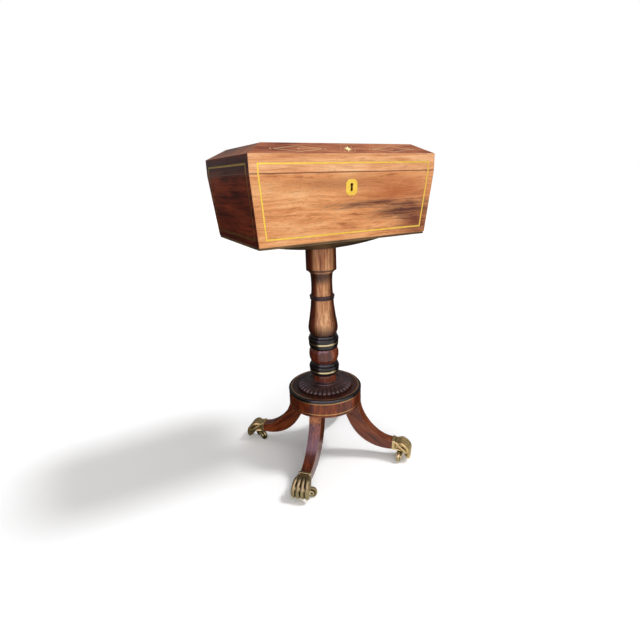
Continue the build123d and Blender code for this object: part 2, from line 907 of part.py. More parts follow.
def make_drum():
    seat_radius = drum_radius - edge_moulding_width
    seat_low = drum_top - edge_moulding_height
    drum = Pos(0, 0, drum_bottom) * Cylinder(
        drum_radius, drum_height, align=(Align.CENTER, Align.CENTER, Align.MIN)
    )
    beyond = 2 * drum_radius
    rebate = turned([Line(at(beyond, seat_low), at(beyond, drum_top + 1))], bore=seat_radius)
    drum = drum - rebate - Pos(0, 0, drum_top) * Cylinder(tenon_radius, 4 * drum_height)
    nose = edge_moulding_height
    moulding = turned(
        [
            Line(at(drum_radius, seat_low), at(drum_radius, seat_low + nose * 0.25)),
            swell(
                at(drum_radius, seat_low + nose * 0.25),
                at(drum_radius - nose * 0.35, drum_top),
                nose * 0.22,
            ),
        ],
        bore=seat_radius,
    )
    strings = []
    side_lines = (
        drum_bottom + drum_line_rise,
        seat_low - drum_string_width,
    )
    for height in side_lines:
        line = turned(
            [Line(at(drum_radius, height), at(drum_radius, height + drum_string_width))],
            bore=drum_radius - string_depth,
        )
        strings.append(line)
    low = drum_top - string_depth
    edge = drum_top_line_radius + drum_top_line_width
    strings.append(turned([Line(at(edge, low), at(edge, drum_top))], bore=drum_top_line_radius))
    for line in strings:
        drum = drum - line
    for angle in leg_angles.values():
        drum = drum - around(leg_tenon(), angle)
    return {"drum": drum, "drum_edge_moulding": moulding, "drum_strings": strings}


# ---- legs, paws and castors, each made pointing along +X and turned to its corner

def leg_tenon():
    centre = (leg_outer_start + leg_inner_start) / 2
    tenon = Box(
        leg_tenon_length,
        leg_tenon_width,
        leg_tenon_height,
        align=(Align.CENTER, Align.CENTER, Align.MIN),
    )
    return Pos(centre, 0, drum_bottom) * tenon


def make_leg():
    """Sabre leg: two swept curves in side view, tapering in width to a spigot for the paw."""
    outer = Bezier(
        at(leg_outer_start, drum_bottom),
        at(leg_outer_high_pull_radius, leg_outer_high_pull_height),
        at(leg_outer_low_pull_radius, leg_outer_low_pull_height),
        at(leg_reach, leg_end_top),
    )
    inner = Bezier(
        at(leg_reach, leg_end_bottom),
        at(leg_inner_low_pull_radius, leg_inner_low_pull_height),
        at(leg_inner_high_pull_radius, leg_inner_high_pull_height),
        at(leg_inner_start, drum_bottom),
    )
    end = Line(at(leg_reach, leg_end_top), at(leg_reach, leg_end_bottom))
    head = Line(at(leg_inner_start, drum_bottom), at(leg_outer_start, drum_bottom))
    blank = extrude(make_face([outer, end, inner, head]), amount=leg_top_width, both=True)
    half_start = leg_top_width / 2
    half_end = leg_end_width / 2
    plan = [
        (leg_inner_start, -half_start),
        (leg_outer_start, -half_start),
        (leg_reach, -half_end),
        (leg_reach, half_end),
        (leg_outer_start, half_start),
        (leg_inner_start, half_start),
    ]
    plan_prism = extrude(make_face(Polyline(*plan, close=True)), amount=2 * drum_bottom)
    leg = (blank & plan_prism) + leg_tenon()
    spigot = Box(
        spigot_length,
        leg_end_width - 2 * spigot_inset,
        leg_end_top - leg_end_bottom - 2 * spigot_inset,
        align=(Align.MIN, Align.CENTER, Align.CENTER),
    )
    return leg + Pos(leg_reach, 0, (leg_end_top + leg_end_bottom) / 2) * spigot


def canted_section(x, width, height, middle, cant):
    """Rectangle across the leg with its corners canted."""
    plane = Plane(origin=(x, 0, middle), x_dir=(0, 1, 0), z_dir=(1, 0, 0))
    rectangle = Rectangle(width, height)
    return plane * chamfer(rectangle.vertices(), cant)


def make_toe():
    """One toe in side view: arched knuckle, round tip, flat below."""
    knuckle_top = at(toe_root, knuckle_height)
    nail = at(paw_reach - nail_setback, nail_height)
    tip = at(paw_reach - claw_setback, toe_bottom)
    arch = at(paw_reach - toe_arch_setback, (3 * knuckle_height + nail_height) / 4)
    front = at(paw_reach, (nail_height + toe_bottom) / 2)
    edges = [
        ThreePointArc(knuckle_top, arch, nail),
        ThreePointArc(nail, front, tip),
        Polyline(
            tip,
            at(toe_heel, toe_bottom),
            at(toe_heel, paw_sole_height),
            at(toe_root, paw_sole_height),
            knuckle_top,
        ),
    ]
    toe = extrude(make_face(edges), amount=toe_width / 2, both=True)
    long_edges = toe.edges().filter_by(lambda edge: edge.center().X > toe_heel + 1)
    long_edges = long_edges.filter_by(lambda edge: abs(edge.center().Y) > toe_width / 4)
    return chamfer(long_edges, toe_cant)


def make_cap(leg):
    """Cast paw: a plain collar band, a body that widens to the toes, and four toes."""
    band_top = leg_end_top + collar_band_proud
    band_width = leg_end_width + 2 * collar_band_proud
    band_height = band_top - paw_sole_height
    middle = (band_top + paw_sole_height) / 2
    band_end = leg_reach + collar_band_length
    band_sketch = canted_section(leg_reach, band_width, band_height, middle, collar_band_cant)
    cap = extrude(band_sketch, amount=collar_band_length)
    waist_width = band_width - 2 * collar_band_proud
    waist_height = band_height - paw_waist_fall
    front_height = band_height - paw_front_fall
    front_middle = middle - paw_front_fall / 2
    cap = cap + loft(
        [
            canted_section(band_end, waist_width, waist_height, middle, paw_cant / 2),
            canted_section(
                castor_pivot, (waist_width + paw_width) / 2, band_height, middle, paw_cant
            ),
            canted_section(toe_heel, paw_width, front_height, front_middle, paw_cant),
        ],
        ruled=True,
    )
    for index in range(toe_count):
        place = index - (toe_count - 1) / 2
        toe = Pos(castor_pivot, place * toe_pitch, 0) * Rot(0, 0, place * toe_splay)
        cap = cap + toe * Pos(-castor_pivot, 0, 0) * make_toe()
    under = Box(
        toe_heel,
        2 * paw_width,
        paw_sole_height,
        align=(Align.MAX, Align.CENTER, Align.MIN),
    )
    return cap - Pos(toe_heel, 0, 0) * under - leg


def castor_frame(name):
    """Place and heading of a castor: pivot on the leg's line, local +X along its trail."""
    angle = leg_angles[name]
    x = castor_pivot * cos(radians(angle))
    y = castor_pivot * sin(radians(angle))
    return Pos(x, y, 0) * Rot(0, 0, castor_headings[name])


def lying(radius, length):
    """Cylinder across the castor, on its axle."""
    return Pos(castor_trail, 0, wheel_radius) * Rot(90, 0, 0) * Cylinder(radius, length)


def make_horn():
    """Neck round the pivot pin and two cheeks that carry the axle."""
    across = wheel_width + 2 * (side_gap + cheek_thickness)
    neck_top = paw_sole_height - top_gap
    neck = Pos(0, 0, neck_bottom) * Cylinder(
        neck_radius, neck_top - neck_bottom, align=(Align.CENTER, Align.CENTER, Align.MIN)
    )
    boss_top = wheel_radius + axle_boss_radius
    boss_low = wheel_radius - axle_boss_radius
    shoulder = neck_top - neck_shoulder
    edges = [
        Line(at(0, neck_bottom), at(0, shoulder)),
        ThreePointArc(
            at(0, shoulder),
            at(castor_trail * 0.55, neck_top - horn_arch_fall),
            at(castor_trail, boss_top),
        ),
        ThreePointArc(
            at(castor_trail, boss_top),
            at(castor_trail + axle_boss_radius, wheel_radius),
            at(castor_trail, boss_low),
        ),
        Line(at(castor_trail, boss_low), at(0, neck_bottom)),
    ]
    cheek_pair = extrude(make_face(edges), amount=across / 2, both=True)
    room = Pos(neck_radius, 0, 0) * Box(
        2 * castor_trail,
        wheel_width + 2 * side_gap,
        4 * wheel_radius,
        align=(Align.MIN, Align.CENTER, Align.CENTER),
    )
    horn = neck + (cheek_pair - room)
    bore = Cylinder(pivot_pin_radius + running_clearance, 4 * paw_sole_height)
    return horn - bore - lying(axle_radius, across + 2)


def make_wheel():
    tread = lying(wheel_radius, wheel_width)
    tread = chamfer(tread.edges(), wheel_cant)
    return tread - lying(axle_radius + running_clearance, 2 * wheel_width)


def make_axle():
    across = wheel_width + 2 * (side_gap + cheek_thickness)
    rivets = lying(rivet_radius, across + 2 * rivet_height) - lying(rivet_radius + 1, across)
    return lying(axle_radius, across) + rivets


def make_pivot_pin():
    """Pin fast in the paw, with a head under the neck."""
    head_top = neck_bottom - top_gap
    top = paw_sole_height + pivot_pin_grip
    up = (Align.CENTER, Align.CENTER, Align.MIN)
    pin = Cylinder(pivot_pin_radius, top - head_top, align=up)
    head = Pos(0, 0, -pivot_head_height) * Cylinder(pivot_head_radius, pivot_head_height, align=up)
    return Pos(castor_pivot, 0, head_top) * (pin + head)


def make_legs():
    nodes = {}
    pin = make_pivot_pin()
    leg = make_leg()
    cap = make_cap(leg) - pin
    horn = make_horn()
    wheel = make_wheel()
    axle = make_axle()
    pins = []
    for name, angle in leg_angles.items():
        nodes[f"leg_{name}"] = around(leg, angle)
        nodes[f"paw_cap_{name}"] = around(cap, angle)
        frame = castor_frame(name)
        nodes[f"castor_horn_{name}"] = frame * horn
        nodes[f"castor_wheel_{name}"] = frame * wheel
        nodes[f"castor_axle_{name}"] = frame * axle
        pins.append(around(pin, angle))
    nodes["castor_pivot_pins"] = pins
    return nodes


# ---- assembly

def main():
    nodes = {
        **make_drum(),
        "gadroon_collar": make_collar(),
        **make_column(),
        "underside_dish": make_dish(),
        **make_body(),
        **make_lid(),
        **make_hinges(),
        **make_interior(),
        **make_legs(),
    }
    os.makedirs("parts", exist_ok=True)
    for name, shape in nodes.items():
        pieces = shape if isinstance(shape, list) else [shape]
        solids = [solid for piece in pieces for solid in piece.solids()]
        whole = Compound(children=solids) if len(solids) > 1 else solids[0]
        export_step(whole, f"parts/{name}.step")
    print(len(nodes), "nodes, height", round(top_height, 1))


main()
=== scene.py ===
# %% [markdown]
# # A teapoy in rosewood and brass
# A teapoy is a tea chest on a stand: a tapered box with a hinged lid, a turned column, a round
# platform and four sabre legs that end in brass lion's paws on castors. This lesson dresses a
# finished construction model. The model gives every piece its size and place, and the lesson adds
# carved and cast shapes, polished wood, brass lines, a camera and light.
#
# The construction model is loaded first, because everything else is placed from it. Lengths in the
# cells are in millimetres, as a cabinet maker would write them, and `mm` turns them into metres.

# %% Load the construction model
import json
import math

import bpy
import numpy as np
from mathutils import Matrix, Vector

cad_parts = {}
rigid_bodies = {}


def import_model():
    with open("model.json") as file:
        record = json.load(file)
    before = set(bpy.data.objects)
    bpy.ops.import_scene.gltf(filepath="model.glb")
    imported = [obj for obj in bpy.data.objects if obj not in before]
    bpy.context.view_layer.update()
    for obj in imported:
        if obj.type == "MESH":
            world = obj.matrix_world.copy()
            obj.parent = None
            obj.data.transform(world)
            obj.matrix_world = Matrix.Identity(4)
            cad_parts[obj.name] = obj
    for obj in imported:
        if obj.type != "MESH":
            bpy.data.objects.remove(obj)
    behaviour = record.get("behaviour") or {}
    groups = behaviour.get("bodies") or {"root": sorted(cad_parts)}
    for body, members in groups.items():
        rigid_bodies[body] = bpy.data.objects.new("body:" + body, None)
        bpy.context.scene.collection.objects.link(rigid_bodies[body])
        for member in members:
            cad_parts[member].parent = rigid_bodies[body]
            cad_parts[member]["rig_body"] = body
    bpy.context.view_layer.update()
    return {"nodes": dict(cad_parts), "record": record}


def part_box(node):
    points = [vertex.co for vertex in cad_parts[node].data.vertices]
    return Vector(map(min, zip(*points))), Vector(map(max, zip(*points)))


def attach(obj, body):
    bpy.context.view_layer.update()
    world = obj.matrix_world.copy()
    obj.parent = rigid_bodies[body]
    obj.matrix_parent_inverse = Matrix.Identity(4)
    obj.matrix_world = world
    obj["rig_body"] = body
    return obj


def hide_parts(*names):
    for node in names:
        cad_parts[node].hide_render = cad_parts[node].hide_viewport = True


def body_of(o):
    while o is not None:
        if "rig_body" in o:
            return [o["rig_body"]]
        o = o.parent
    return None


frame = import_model()
nodes = frame["nodes"]
mm = 0.001
leg_angles = {"front_left": 225, "front_right": 315, "back_left": 135, "back_right": 45}
print(len(nodes), "construction pieces")


# %% [markdown]
# ## The camera
# The stand is seen from a little to its left and from the height of its box, with a short lens.
# A camera is a matrix: its columns are the directions to its right, up and backwards. Yaw and pitch
# give the forward direction, and roll turns the other two about it.

# %% Place the camera
image_width = 640
focal_length_pixels = 425.95
image_centre = (328.26, 319.35)
camera_place = Vector((-474.7, -885.5, 703.1)) * mm
camera_yaw, camera_pitch, camera_roll = (math.radians(a) for a in (28.96, 18.52, -1.573))
sensor_width = 36.0


def camera_axes(yaw, pitch, roll):
    """Right, up and forward: level axes from yaw and pitch, then turned by roll."""
    forward = Vector(
        (math.sin(yaw) * math.cos(pitch), math.cos(yaw) * math.cos(pitch), -math.sin(pitch))
    )
    level_right = Vector((math.cos(yaw), -math.sin(yaw), 0))
    level_up = level_right.cross(forward)
    right = level_right * math.cos(roll) + level_up * math.sin(roll)
    up = level_up * math.cos(roll) - level_right * math.sin(roll)
    return right, up, forward


camera_right, camera_up, camera_forward = camera_axes(camera_yaw, camera_pitch, camera_roll)
camera_data = bpy.data.cameras.new("camera")
camera_data.sensor_width = sensor_width
camera_data.lens = focal_length_pixels * sensor_width / image_width
camera_data.shift_x = (image_width / 2 - image_centre[0]) / image_width
camera_data.shift_y = (image_centre[1] - image_width / 2) / image_width
camera_data.clip_start = 0.02
camera = bpy.data.objects.new("camera", camera_data)
turn = Matrix((camera_right, camera_up, -camera_forward)).transposed()
camera.matrix_world = Matrix.Translation(camera_place) @ turn.to_4x4()
bpy.context.scene.collection.objects.link(camera)
bpy.context.scene.camera = camera
print("lens", round(camera_data.lens, 2), "mm")


# %% [markdown]
# ## Helpers for colour and nodes
# A colour is written as a hex value, as a paint chart gives it, and one function makes it linear,
# because shaders add and multiply light. Every shader node is added by one small function, which
# takes its inputs in order or by name, so that a material reads from top to bottom like a recipe.

# %% Colour and node helpers
def linear(hex_colour):
    """Linear red, green, blue and alpha of an sRGB hex colour."""
    value = np.array([int(hex_colour[i : i + 2], 16) for i in (1, 3, 5)]) / 255
    value = np.where(value <= 0.04045, value / 12.92, ((value + 0.055) / 1.055) ** 2.4)
    return (*value.tolist(), 1.0)


def fill(tree, node, inputs):
    """Link each input to a socket or a node's first output, or set it to a value or hex colour."""
    for name, value in inputs.items():
        if isinstance(value, bpy.types.Node):
            value = value.outputs[0]
        if isinstance(value, bpy.types.NodeSocket):
            tree.links.new(value, node.inputs[name])
        else:
            node.inputs[name].default_value = linear(value) if isinstance(value, str) else value


def add(tree, kind, *inputs, stops=(), **settings):
    """One shader node with its settings, a ramp's stops, and its inputs in order or by name."""
    node = tree.nodes.new(f"ShaderNode{kind}")
    for name, value in settings.items():
        setattr(node, name, value)
    for place, (position, colour) in enumerate(stops):
        elements = node.color_ramp.elements
        stop = elements[place] if place < 2 else elements.new(position)
        stop.position = position
        stop.color = linear(colour)
    by_name = inputs and isinstance(inputs[0], dict)
    fill(tree, node, inputs[0] if by_name else dict(enumerate(inputs)))
    return node


def new_material(name):
    """An empty material with a Principled shader: the material, its tree and the shader."""
    material = bpy.data.materials.new(name)
    material.use_nodes = True
    shader = material.node_tree.nodes["Principled BSDF"]
    return material, material.node_tree, shader


# %% [markdown]
# ## The room
# The stand is shown on a plain white floor in a white room. Dark polished wood shows the room that
# it stands in, so a studio hangs white cloth in front of a piece and leaves the room behind it dark.
# The cloth then draws one broad bright band down each turning, and the edges of the turning stay
# dark. The floor and sky here do the same: they are white where the camera or glass sees them, and
# polished surfaces see them white on the front side and dark at the back.

# %% Which rays see white
bright_side, bright_half_angle = 262, 62
edge_softness = 0.15


def side_share(tree, place, azimuth, half_angle):
    """1 where a place or direction is within half_angle of an azimuth, seen from above, else 0."""
    level = add(tree, "VectorMath", place, (1, 1, 0), operation="MULTIPLY")
    unit = add(tree, "VectorMath", level, operation="NORMALIZE")
    ahead = (math.cos(math.radians(azimuth)), math.sin(math.radians(azimuth)), 0)
    towards = add(tree, "VectorMath", unit, ahead, operation="DOT_PRODUCT").outputs["Value"]
    limit = math.cos(math.radians(half_angle))
    edge = (limit - edge_softness, limit + edge_softness)
    return add(tree, "MapRange", towards, *edge, interpolation_type="SMOOTHSTEP")


def seen_white(tree, place):
    """Two shares: of rays that see white, and of polished surfaces' rays."""
    path = add(tree, "LightPath").outputs
    seen = (path["Is Camera Ray"], path["Is Transmission Ray"])
    direct = add(tree, "Math", *seen, operation="MAXIMUM")
    ahead = side_share(tree, place, bright_side, bright_half_angle)
    front = add(tree, "Math", path["Is Glossy Ray"], ahead, operation="MULTIPLY")
    return add(tree, "Math", direct, front, operation="MAXIMUM"), path["Is Glossy Ray"]


# %% Floor and sky
def make_floor(half_width=14.0, shadow_share=0.97, glow=0.10):
    """A flat floor: where it is seen, a share of its brightness takes shadow and the rest glows."""
    mesh = bpy.data.meshes.new("floor")
    square = [(-half_width, -half_width, 0), (half_width, -half_width, 0)]
    square += [(half_width, half_width, 0), (-half_width, half_width, 0)]
    mesh.from_pydata(square, [], [(0, 1, 2, 3)])
    floor = bpy.data.objects.new("floor", mesh)
    bpy.context.scene.collection.objects.link(floor)
    material, tree, shader = new_material("white floor")
    tree.nodes.remove(shader)
    bright_share, glossy = seen_white(tree, add(tree, "TexCoord").outputs["Object"])
    dim_colour = add(tree, "Mix", {0: glossy, 6: "#7C7874", 7: "#26221F"}, data_type="RGBA")
    dim = add(tree, "BsdfDiffuse", dim_colour.outputs[2])
    shaded = add(tree, "BsdfDiffuse", (shadow_share, shadow_share, shadow_share, 1.0))
    bright = add(tree, "AddShader", shaded, add(tree, "Emission", "#FFFFFF", glow))
    whole = add(tree, "MixShader", bright_share, dim, bright)
    fill(tree, tree.nodes["Material Output"], {"Surface": whole})
    mesh.materials.append(material)


def make_sky(strength=0.20):
    """Even light from all round, which looks white where it is seen."""
    world = bpy.data.worlds.new("studio")
    world.use_nodes = True
    bpy.context.scene.world = world
    tree = world.node_tree
    tree.nodes.clear()
    bright_share, _ = seen_white(tree, add(tree, "TexCoord").outputs["Generated"])
    level = add(tree, "Math", bright_share, strength, operation="MAXIMUM")
    add(tree, "OutputWorld", {"Surface": add(tree, "Background", "#FFFFFF", level)})


make_floor()
make_sky()
bpy.context.scene.view_settings.view_transform = "Standard"
print("world", bpy.context.scene.world.name)


# %% [markdown]
# ## Lamps
# The floor must be evenly lit, so three lamps are suns, which shine as if from far away. One is low
# in front, beside the camera: it lights the face with the lock and leaves the left side in shade.
# The second is high on the right and puts a soft grey shadow under the stand, and the third is a
# wide, weak ceiling. A sun's angle is how wide it looks from the object, so a wide angle gives a
# soft shadow. The suns stay out of the polish, where they would glare on the lid. What the polish
# shows is two windows, one tall on the left and one high in front, which put a lilac sheen on the
# front leg and on the mouldings and light nothing else.

# %% Suns and windows
window_colour = "#B8A2BE"
window_aim, window_distance = Vector((0, 0, 0.25)), 1.7


def direction(azimuth, elevation):
    """Unit vector towards a lamp that stands at an azimuth and elevation, in degrees."""
    across, rise = math.radians(azimuth), math.radians(elevation)
    level = math.cos(rise)
    return Vector((math.cos(across) * level, math.sin(across) * level, math.sin(rise)))


def make_lamp(name, kind, towards, strength, colour):
    """A lamp that shines back along the direction in which it stands."""
    data = bpy.data.lights.new(name, kind)
    data.energy = strength
    data.color = linear(colour)[:3]
    lamp = bpy.data.objects.new(name, data)
    lamp.rotation_euler = (-towards).to_track_quat("-Z", "Y").to_euler()
    bpy.context.scene.collection.objects.link(lamp)
    return lamp


def make_sun(name, towards, strength, colour, angle):
    """A far lamp that looks angle degrees wide and isn't seen in polish."""
    sun = make_lamp(name, "SUN", towards, strength, colour)
    sun.data.angle = math.radians(angle)
    sun.visible_glossy = False


def make_window(name, towards, width, height, power):
    """A large soft lamp, width by height in metres, that only polish shows."""
    window = make_lamp(name, "AREA", towards, power, window_colour)
    window.data.shape = "RECTANGLE"
    window.data.size, window.data.size_y = width, height
    window.location = window_aim + window_distance * towards
    window.visible_diffuse = False


make_sun("front light", direction(250, 8), 2.9, "#FFFAF2", 46)
make_sun("skylight", direction(338, 54), 1.75, "#FDFDFF", 12)
make_sun("ceiling", direction(325, 74), 0.8, "#FDFDFF", 60)
make_window("side window", direction(206, 27), 0.5, 2.0, 13.0)
make_window("high window", direction(246, 40), 2.2, 1.3, 42.0)
print("lamps:", ", ".join(lamp.name for lamp in bpy.data.lights))


# %% [markdown]
# ## Rosewood
# Rosewood is a dense red-brown timber with near-black streaks that run with the grain, and fine
# open pores. It is cut as thin veneer for the box and as solid wood for the turnings, and then
# French polished, which gives it a thin glossy film over softer wood.
#
# Grain is noise that is long in one direction. Object coordinates are in metres, so a streak that
# is 5 mm wide needs a noise scale of 1/0.005, and the long direction is divided by how many times
# longer the streaks are. The coordinates are first pushed about by a slower noise, which bends the
# streaks into figure.

# %% Grain
figure_width = 26


def bent_place(tree, yaw, pitch, figure, drift):
    """Object coordinates with X along the grain, pushed about by up to figure mm.

    The grain lies at an angle of yaw from X, seen from above, and points down by pitch. Drift
    moves to another part of the noise, so that no two woods have the same streaks.
    """
    turned = add(
        tree,
        "Mapping",
        {
            "Vector": add(tree, "TexCoord").outputs["Object"],
            "Rotation": (0, math.radians(pitch), math.radians(yaw)),
            "Location": (drift, 0.37 * drift, 1.7 * drift),
        },
        vector_type="TEXTURE",
    )
    slow = add(tree, "Mapping", {"Vector": turned, "Scale": (0.3, 1.0, 1.0)})
    noise = {"Vector": slow, "Scale": 1 / (figure_width * mm), "Detail": 3.0, "Roughness": 0.5}
    sway = add(tree, "TexNoise", noise).outputs["Color"]
    push = add(tree, "VectorMath", sway, (0.5, 0.5, 0.5), operation="SUBTRACT")
    reach = add(tree, "VectorMath", {0: push, "Scale": figure * mm}, operation="SCALE")
    return add(tree, "VectorMath", turned, reach, operation="ADD")


def grain(tree, place, width, length, detail=4.0, roughness=0.6):
    """Noise in streaks that are width mm wide and length times as long."""
    along = add(tree, "Mapping", {"Vector": place, "Scale": (1 / length, 1.0, 1.0)})
    noise = {"Vector": along, "Scale": 1 / (width * mm), "Detail": detail, "Roughness": roughness}
    return add(tree, "TexNoise", noise)


# %% [markdown]
# ## Rosewood in layers
# The colour is built up as a wood grainer paints it. The ground is a ramp of shades along the grain.
# Over it lie, in order, a side painted lighter as highlight, flames of other figure and of painted
# highlight and shade, the dark streaks, heights painted darker as shade and partly dirt, the pores,
# and last the edges, painted pale as wear and highlight. An edge is found by comparing the surface's
# direction with its mean nearby. Real pores are about 0.2 mm wide, and are drawn coarser so they
# show.

# %% Rosewood material
band_share, cloud_share, tone_range = 0.6, 0.5, (0.36, 0.74)
flame_range, flame_raggedness = (1.3, 0.1), 2.6
streak_range = (0.53, 0.68)
# Bands at set heights painted darker, as shade and partly dirt: how dark, and how ragged in mm.
shade_and_dirt_share, shade_and_dirt_wave, sharp_start = 0.82, 6, 3
pore_width, pore_length, pore_range, pore_share = 0.7, 9, (0.60, 0.74), 0.6
# Edges painted pale, partly as wear and partly as a highlight along each arris.
worn_edge_highlight_radius, worn_edge_highlight_range, worn_edge_highlight_share, worn_edge_highlight_colour = 1.8, (0.985, 0.84), 0.55, "#C08A68"
eased_radius = 0.7


def shade_stops(shades):
    """Evenly spaced stops of a colour ramp."""
    return list(zip(np.linspace(0, 1, len(shades)).tolist(), shades))


def rosewood(
    name,
    shades,
    yaw=0.0,
    pitch=0.0,
    streak="#1C0B08",
    streak_share=0.6,
    width=3.0,
    length=16.0,
    figure=8.0,
    coat=0.4,
    shine=0.12,
    flames=(),
    shade_and_dirt_levels=(),
    painted_lit_side=None,
    drift=0.0,
):
    """Polished rosewood; yaw and pitch turn its grain, and width is a streak's, in millimetres.

    coat is how much polish lies on it, and shine is the polish's roughness.
    Each flame is a painted patch of figure, highlight and shade: colour, share, centre, half lengths
    in mm.
    painted_lit_side is a side painted lighter, as highlight: its shades, azimuth and half angle.
    A shade and dirt level is a height painted darker: start, full, end full and end, in mm.
    Its edge is ragged along the grain, or sharp where it takes less than 3 mm to start.
    """
    material, tree, shader = new_material(name)
    object_place = add(tree, "TexCoord").outputs["Object"]
    place = bent_place(tree, yaw, pitch, figure, drift)
    clouds = grain(tree, place, 9 * width, 5, 2)
    bands = grain(tree, place, 1.6 * width, length, 5)
    lines = grain(tree, place, 0.5 * width, 1.6 * length, 3, 0.7)
    pores = grain(tree, place, pore_width, pore_length, 2)
    faint = add(tree, "Math", clouds, cloud_share, operation="MULTIPLY")
    tone = add(tree, "Math", bands, band_share, faint, operation="MULTIPLY_ADD")
    tone = add(tree, "MapRange", tone, *tone_range)
    colour = add(tree, "ValToRGB", tone, stops=shade_stops(shades))
    layers = []
    # A side painted lighter, as the highlight where the light falls from that side.
    if painted_lit_side:
        lit_shades, azimuth, half_angle = painted_lit_side
        lit_share = side_share(tree, object_place, azimuth, half_angle)
        layers.append((lit_share, add(tree, "ValToRGB", tone, stops=shade_stops(lit_shades))))
    for flame_colour, most, centre, half in flames:
        patch = {"Location": tuple(c * mm for c in centre), "Scale": tuple(h * mm for h in half)}
        inside = add(tree, "Mapping", {"Vector": object_place, **patch}, vector_type="TEXTURE")
        away = add(tree, "VectorMath", inside, operation="LENGTH").outputs["Value"]
        away = add(tree, "Math", away, flame_raggedness / 2, operation="ADD")
        ragged = add(tree, "Math", bands, -flame_raggedness, away, operation="MULTIPLY_ADD")
        layers.append((add(tree, "MapRange", ragged, *flame_range, 0, most), flame_colour))
    layers.append((add(tree, "MapRange", lines, *streak_range, 0, streak_share), streak))
    height = add(tree, "SeparateXYZ", object_place).outputs["Z"]
    lower = add(tree, "Math", height, -shade_and_dirt_wave / 2 * mm, operation="ADD")
    wavy = add(tree, "Math", bands, shade_and_dirt_wave * mm, lower, operation="MULTIPLY_ADD")
    # Bands at set heights painted darker: shade under mouldings and in joints, and some dirt.
    for start, full, end_full, end in shade_and_dirt_levels:
        level = height if full - start < sharp_start else wavy
        rise = add(tree, "MapRange", level, start * mm, full * mm, 0, shade_and_dirt_share)
        fall = add(tree, "MapRange", level, end * mm, end_full * mm, 0, shade_and_dirt_share)
        layers.append((add(tree, "Math", rise, fall, operation="MINIMUM"), streak))
    layers.append((add(tree, "MapRange", pores, *pore_range, 0, pore_share), streak))
    # The edges painted pale, partly as wear and partly as a highlight along each arris.
    around = add(tree, "Bevel", {"Radius": worn_edge_highlight_radius * mm}, samples=6)
    surface = add(tree, "NewGeometry").outputs["Normal"]
    agree = add(tree, "VectorMath", around, surface, operation="DOT_PRODUCT").outputs["Value"]
    worn_edge_highlight = add(tree, "MapRange", agree, *worn_edge_highlight_range, 0, worn_edge_highlight_share)
    layers.append((worn_edge_highlight, worn_edge_highlight_colour))
    for share, cover in layers:
        colour = add(tree, "Mix", {0: share, 6: colour, 7: cover}, data_type="RGBA").outputs[2]
    relief = add(tree, "Bump", {"Height": pores, "Strength": 0.10, "Distance": 0.15 * mm})
    inputs = {
        "Base Color": colour,
        "Roughness": add(tree, "MapRange", bands, 0.3, 0.7, 0.5, 0.34),
        "Normal": add(tree, "Bevel", {"Radius": eased_radius * mm, "Normal": relief}, samples=4),
        "Specular IOR Level": 0.22,
        "Coat Weight": coat,
        "Coat Roughness": shine,
        "Coat IOR": 1.45,
    }
    fill(tree, shader, inputs)
    return material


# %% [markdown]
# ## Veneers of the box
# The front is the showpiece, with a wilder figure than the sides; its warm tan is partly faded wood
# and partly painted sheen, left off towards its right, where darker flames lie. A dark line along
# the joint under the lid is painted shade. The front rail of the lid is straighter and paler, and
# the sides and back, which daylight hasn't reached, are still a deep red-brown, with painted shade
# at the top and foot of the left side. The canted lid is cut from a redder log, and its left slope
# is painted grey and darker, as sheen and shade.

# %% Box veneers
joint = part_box("lid_front")[0][2] / mm
# Painted shade along the joint under the lid: a dark band at the top of the body and at the foot of
# the rail.
under_joint = [(joint - 1.6, joint - 1.1, joint + 9, joint + 10)]
over_joint = [(joint - 9, joint - 8, joint + 0.6, joint + 1.1)]
side_shades = ("#2C0D06", "#5A2010", "#84361A", "#A04C28")
front_veneer = rosewood(
    "rosewood veneer, faded", ("#9A552F", "#DE955E", "#F0AE76", "#FBC894"), streak="#74402A",
    streak_share=0.5, width=2.6, length=22, figure=15, coat=0.3, shine=0.2, drift=0.4,
    # Its pale tan is partly painted sheen; the darker flames at its right are where that sheen is
    # left off.
    flames=[
        ("#A86C42", 0.65, (-20, -150, 690), (150, 900, 13)),
        ("#B05A2A", 0.8, (110, -150, 672), (95, 900, 30)),
        ("#6A2814", 0.95, (176, -150, 606), (62, 900, 46)),
        ("#5E3020", 0.95, (60, -150, 648), (115, 900, 9)),
        ("#4A1E14", 0.95, (140, -150, 630), (95, 900, 17)),
    ],
    shade_and_dirt_levels=under_joint,
)
rail_veneer = rosewood(
    "rosewood veneer, rail", ("#B8734A", "#DC9A68", "#F0B685", "#F8CA9C"), streak="#7A4022",
    streak_share=0.45, width=2.4, length=24, figure=6, coat=0.3, shine=0.2, drift=1.3,
    shade_and_dirt_levels=over_joint,
)
side_veneer = rosewood(
    "rosewood veneer, dark", side_shades, 90, width=2.6, length=22, figure=8,
    coat=0.2, shine=0.1, drift=0.9,
    # The left side painted darker at its top and its foot, as shade; its level at the joint is
    # painted shade.
    flames=[
        ("#200B07", 0.85, (-205, 0, 728), (70, 500, 20)),
        ("#1A0906", 0.85, (-150, 0, 580), (70, 500, 24)),
    ],
    shade_and_dirt_levels=[(joint - 1.2, joint - 0.8, joint + 0.8, joint + 1.4)],
)
back_veneer = rosewood(
    "rosewood veneer, back", side_shades, width=2.8, length=18, figure=10, drift=2.1,
)
lid_veneer = rosewood(
    "rosewood veneer, lid", ("#502418", "#90523A", "#B2724E", "#C88A5E"), width=2.6, length=16,
    figure=8, coat=0.15, shine=0.3, drift=1.9,
    # The left slope painted grey and darker, as the sky's sheen and shade on that side.
    flames=[("#4E3E3A", 0.9, (-172, 40, 740), (46, 130, 200))],
)
print("the joint under the lid is at", round(joint, 1), "mm")
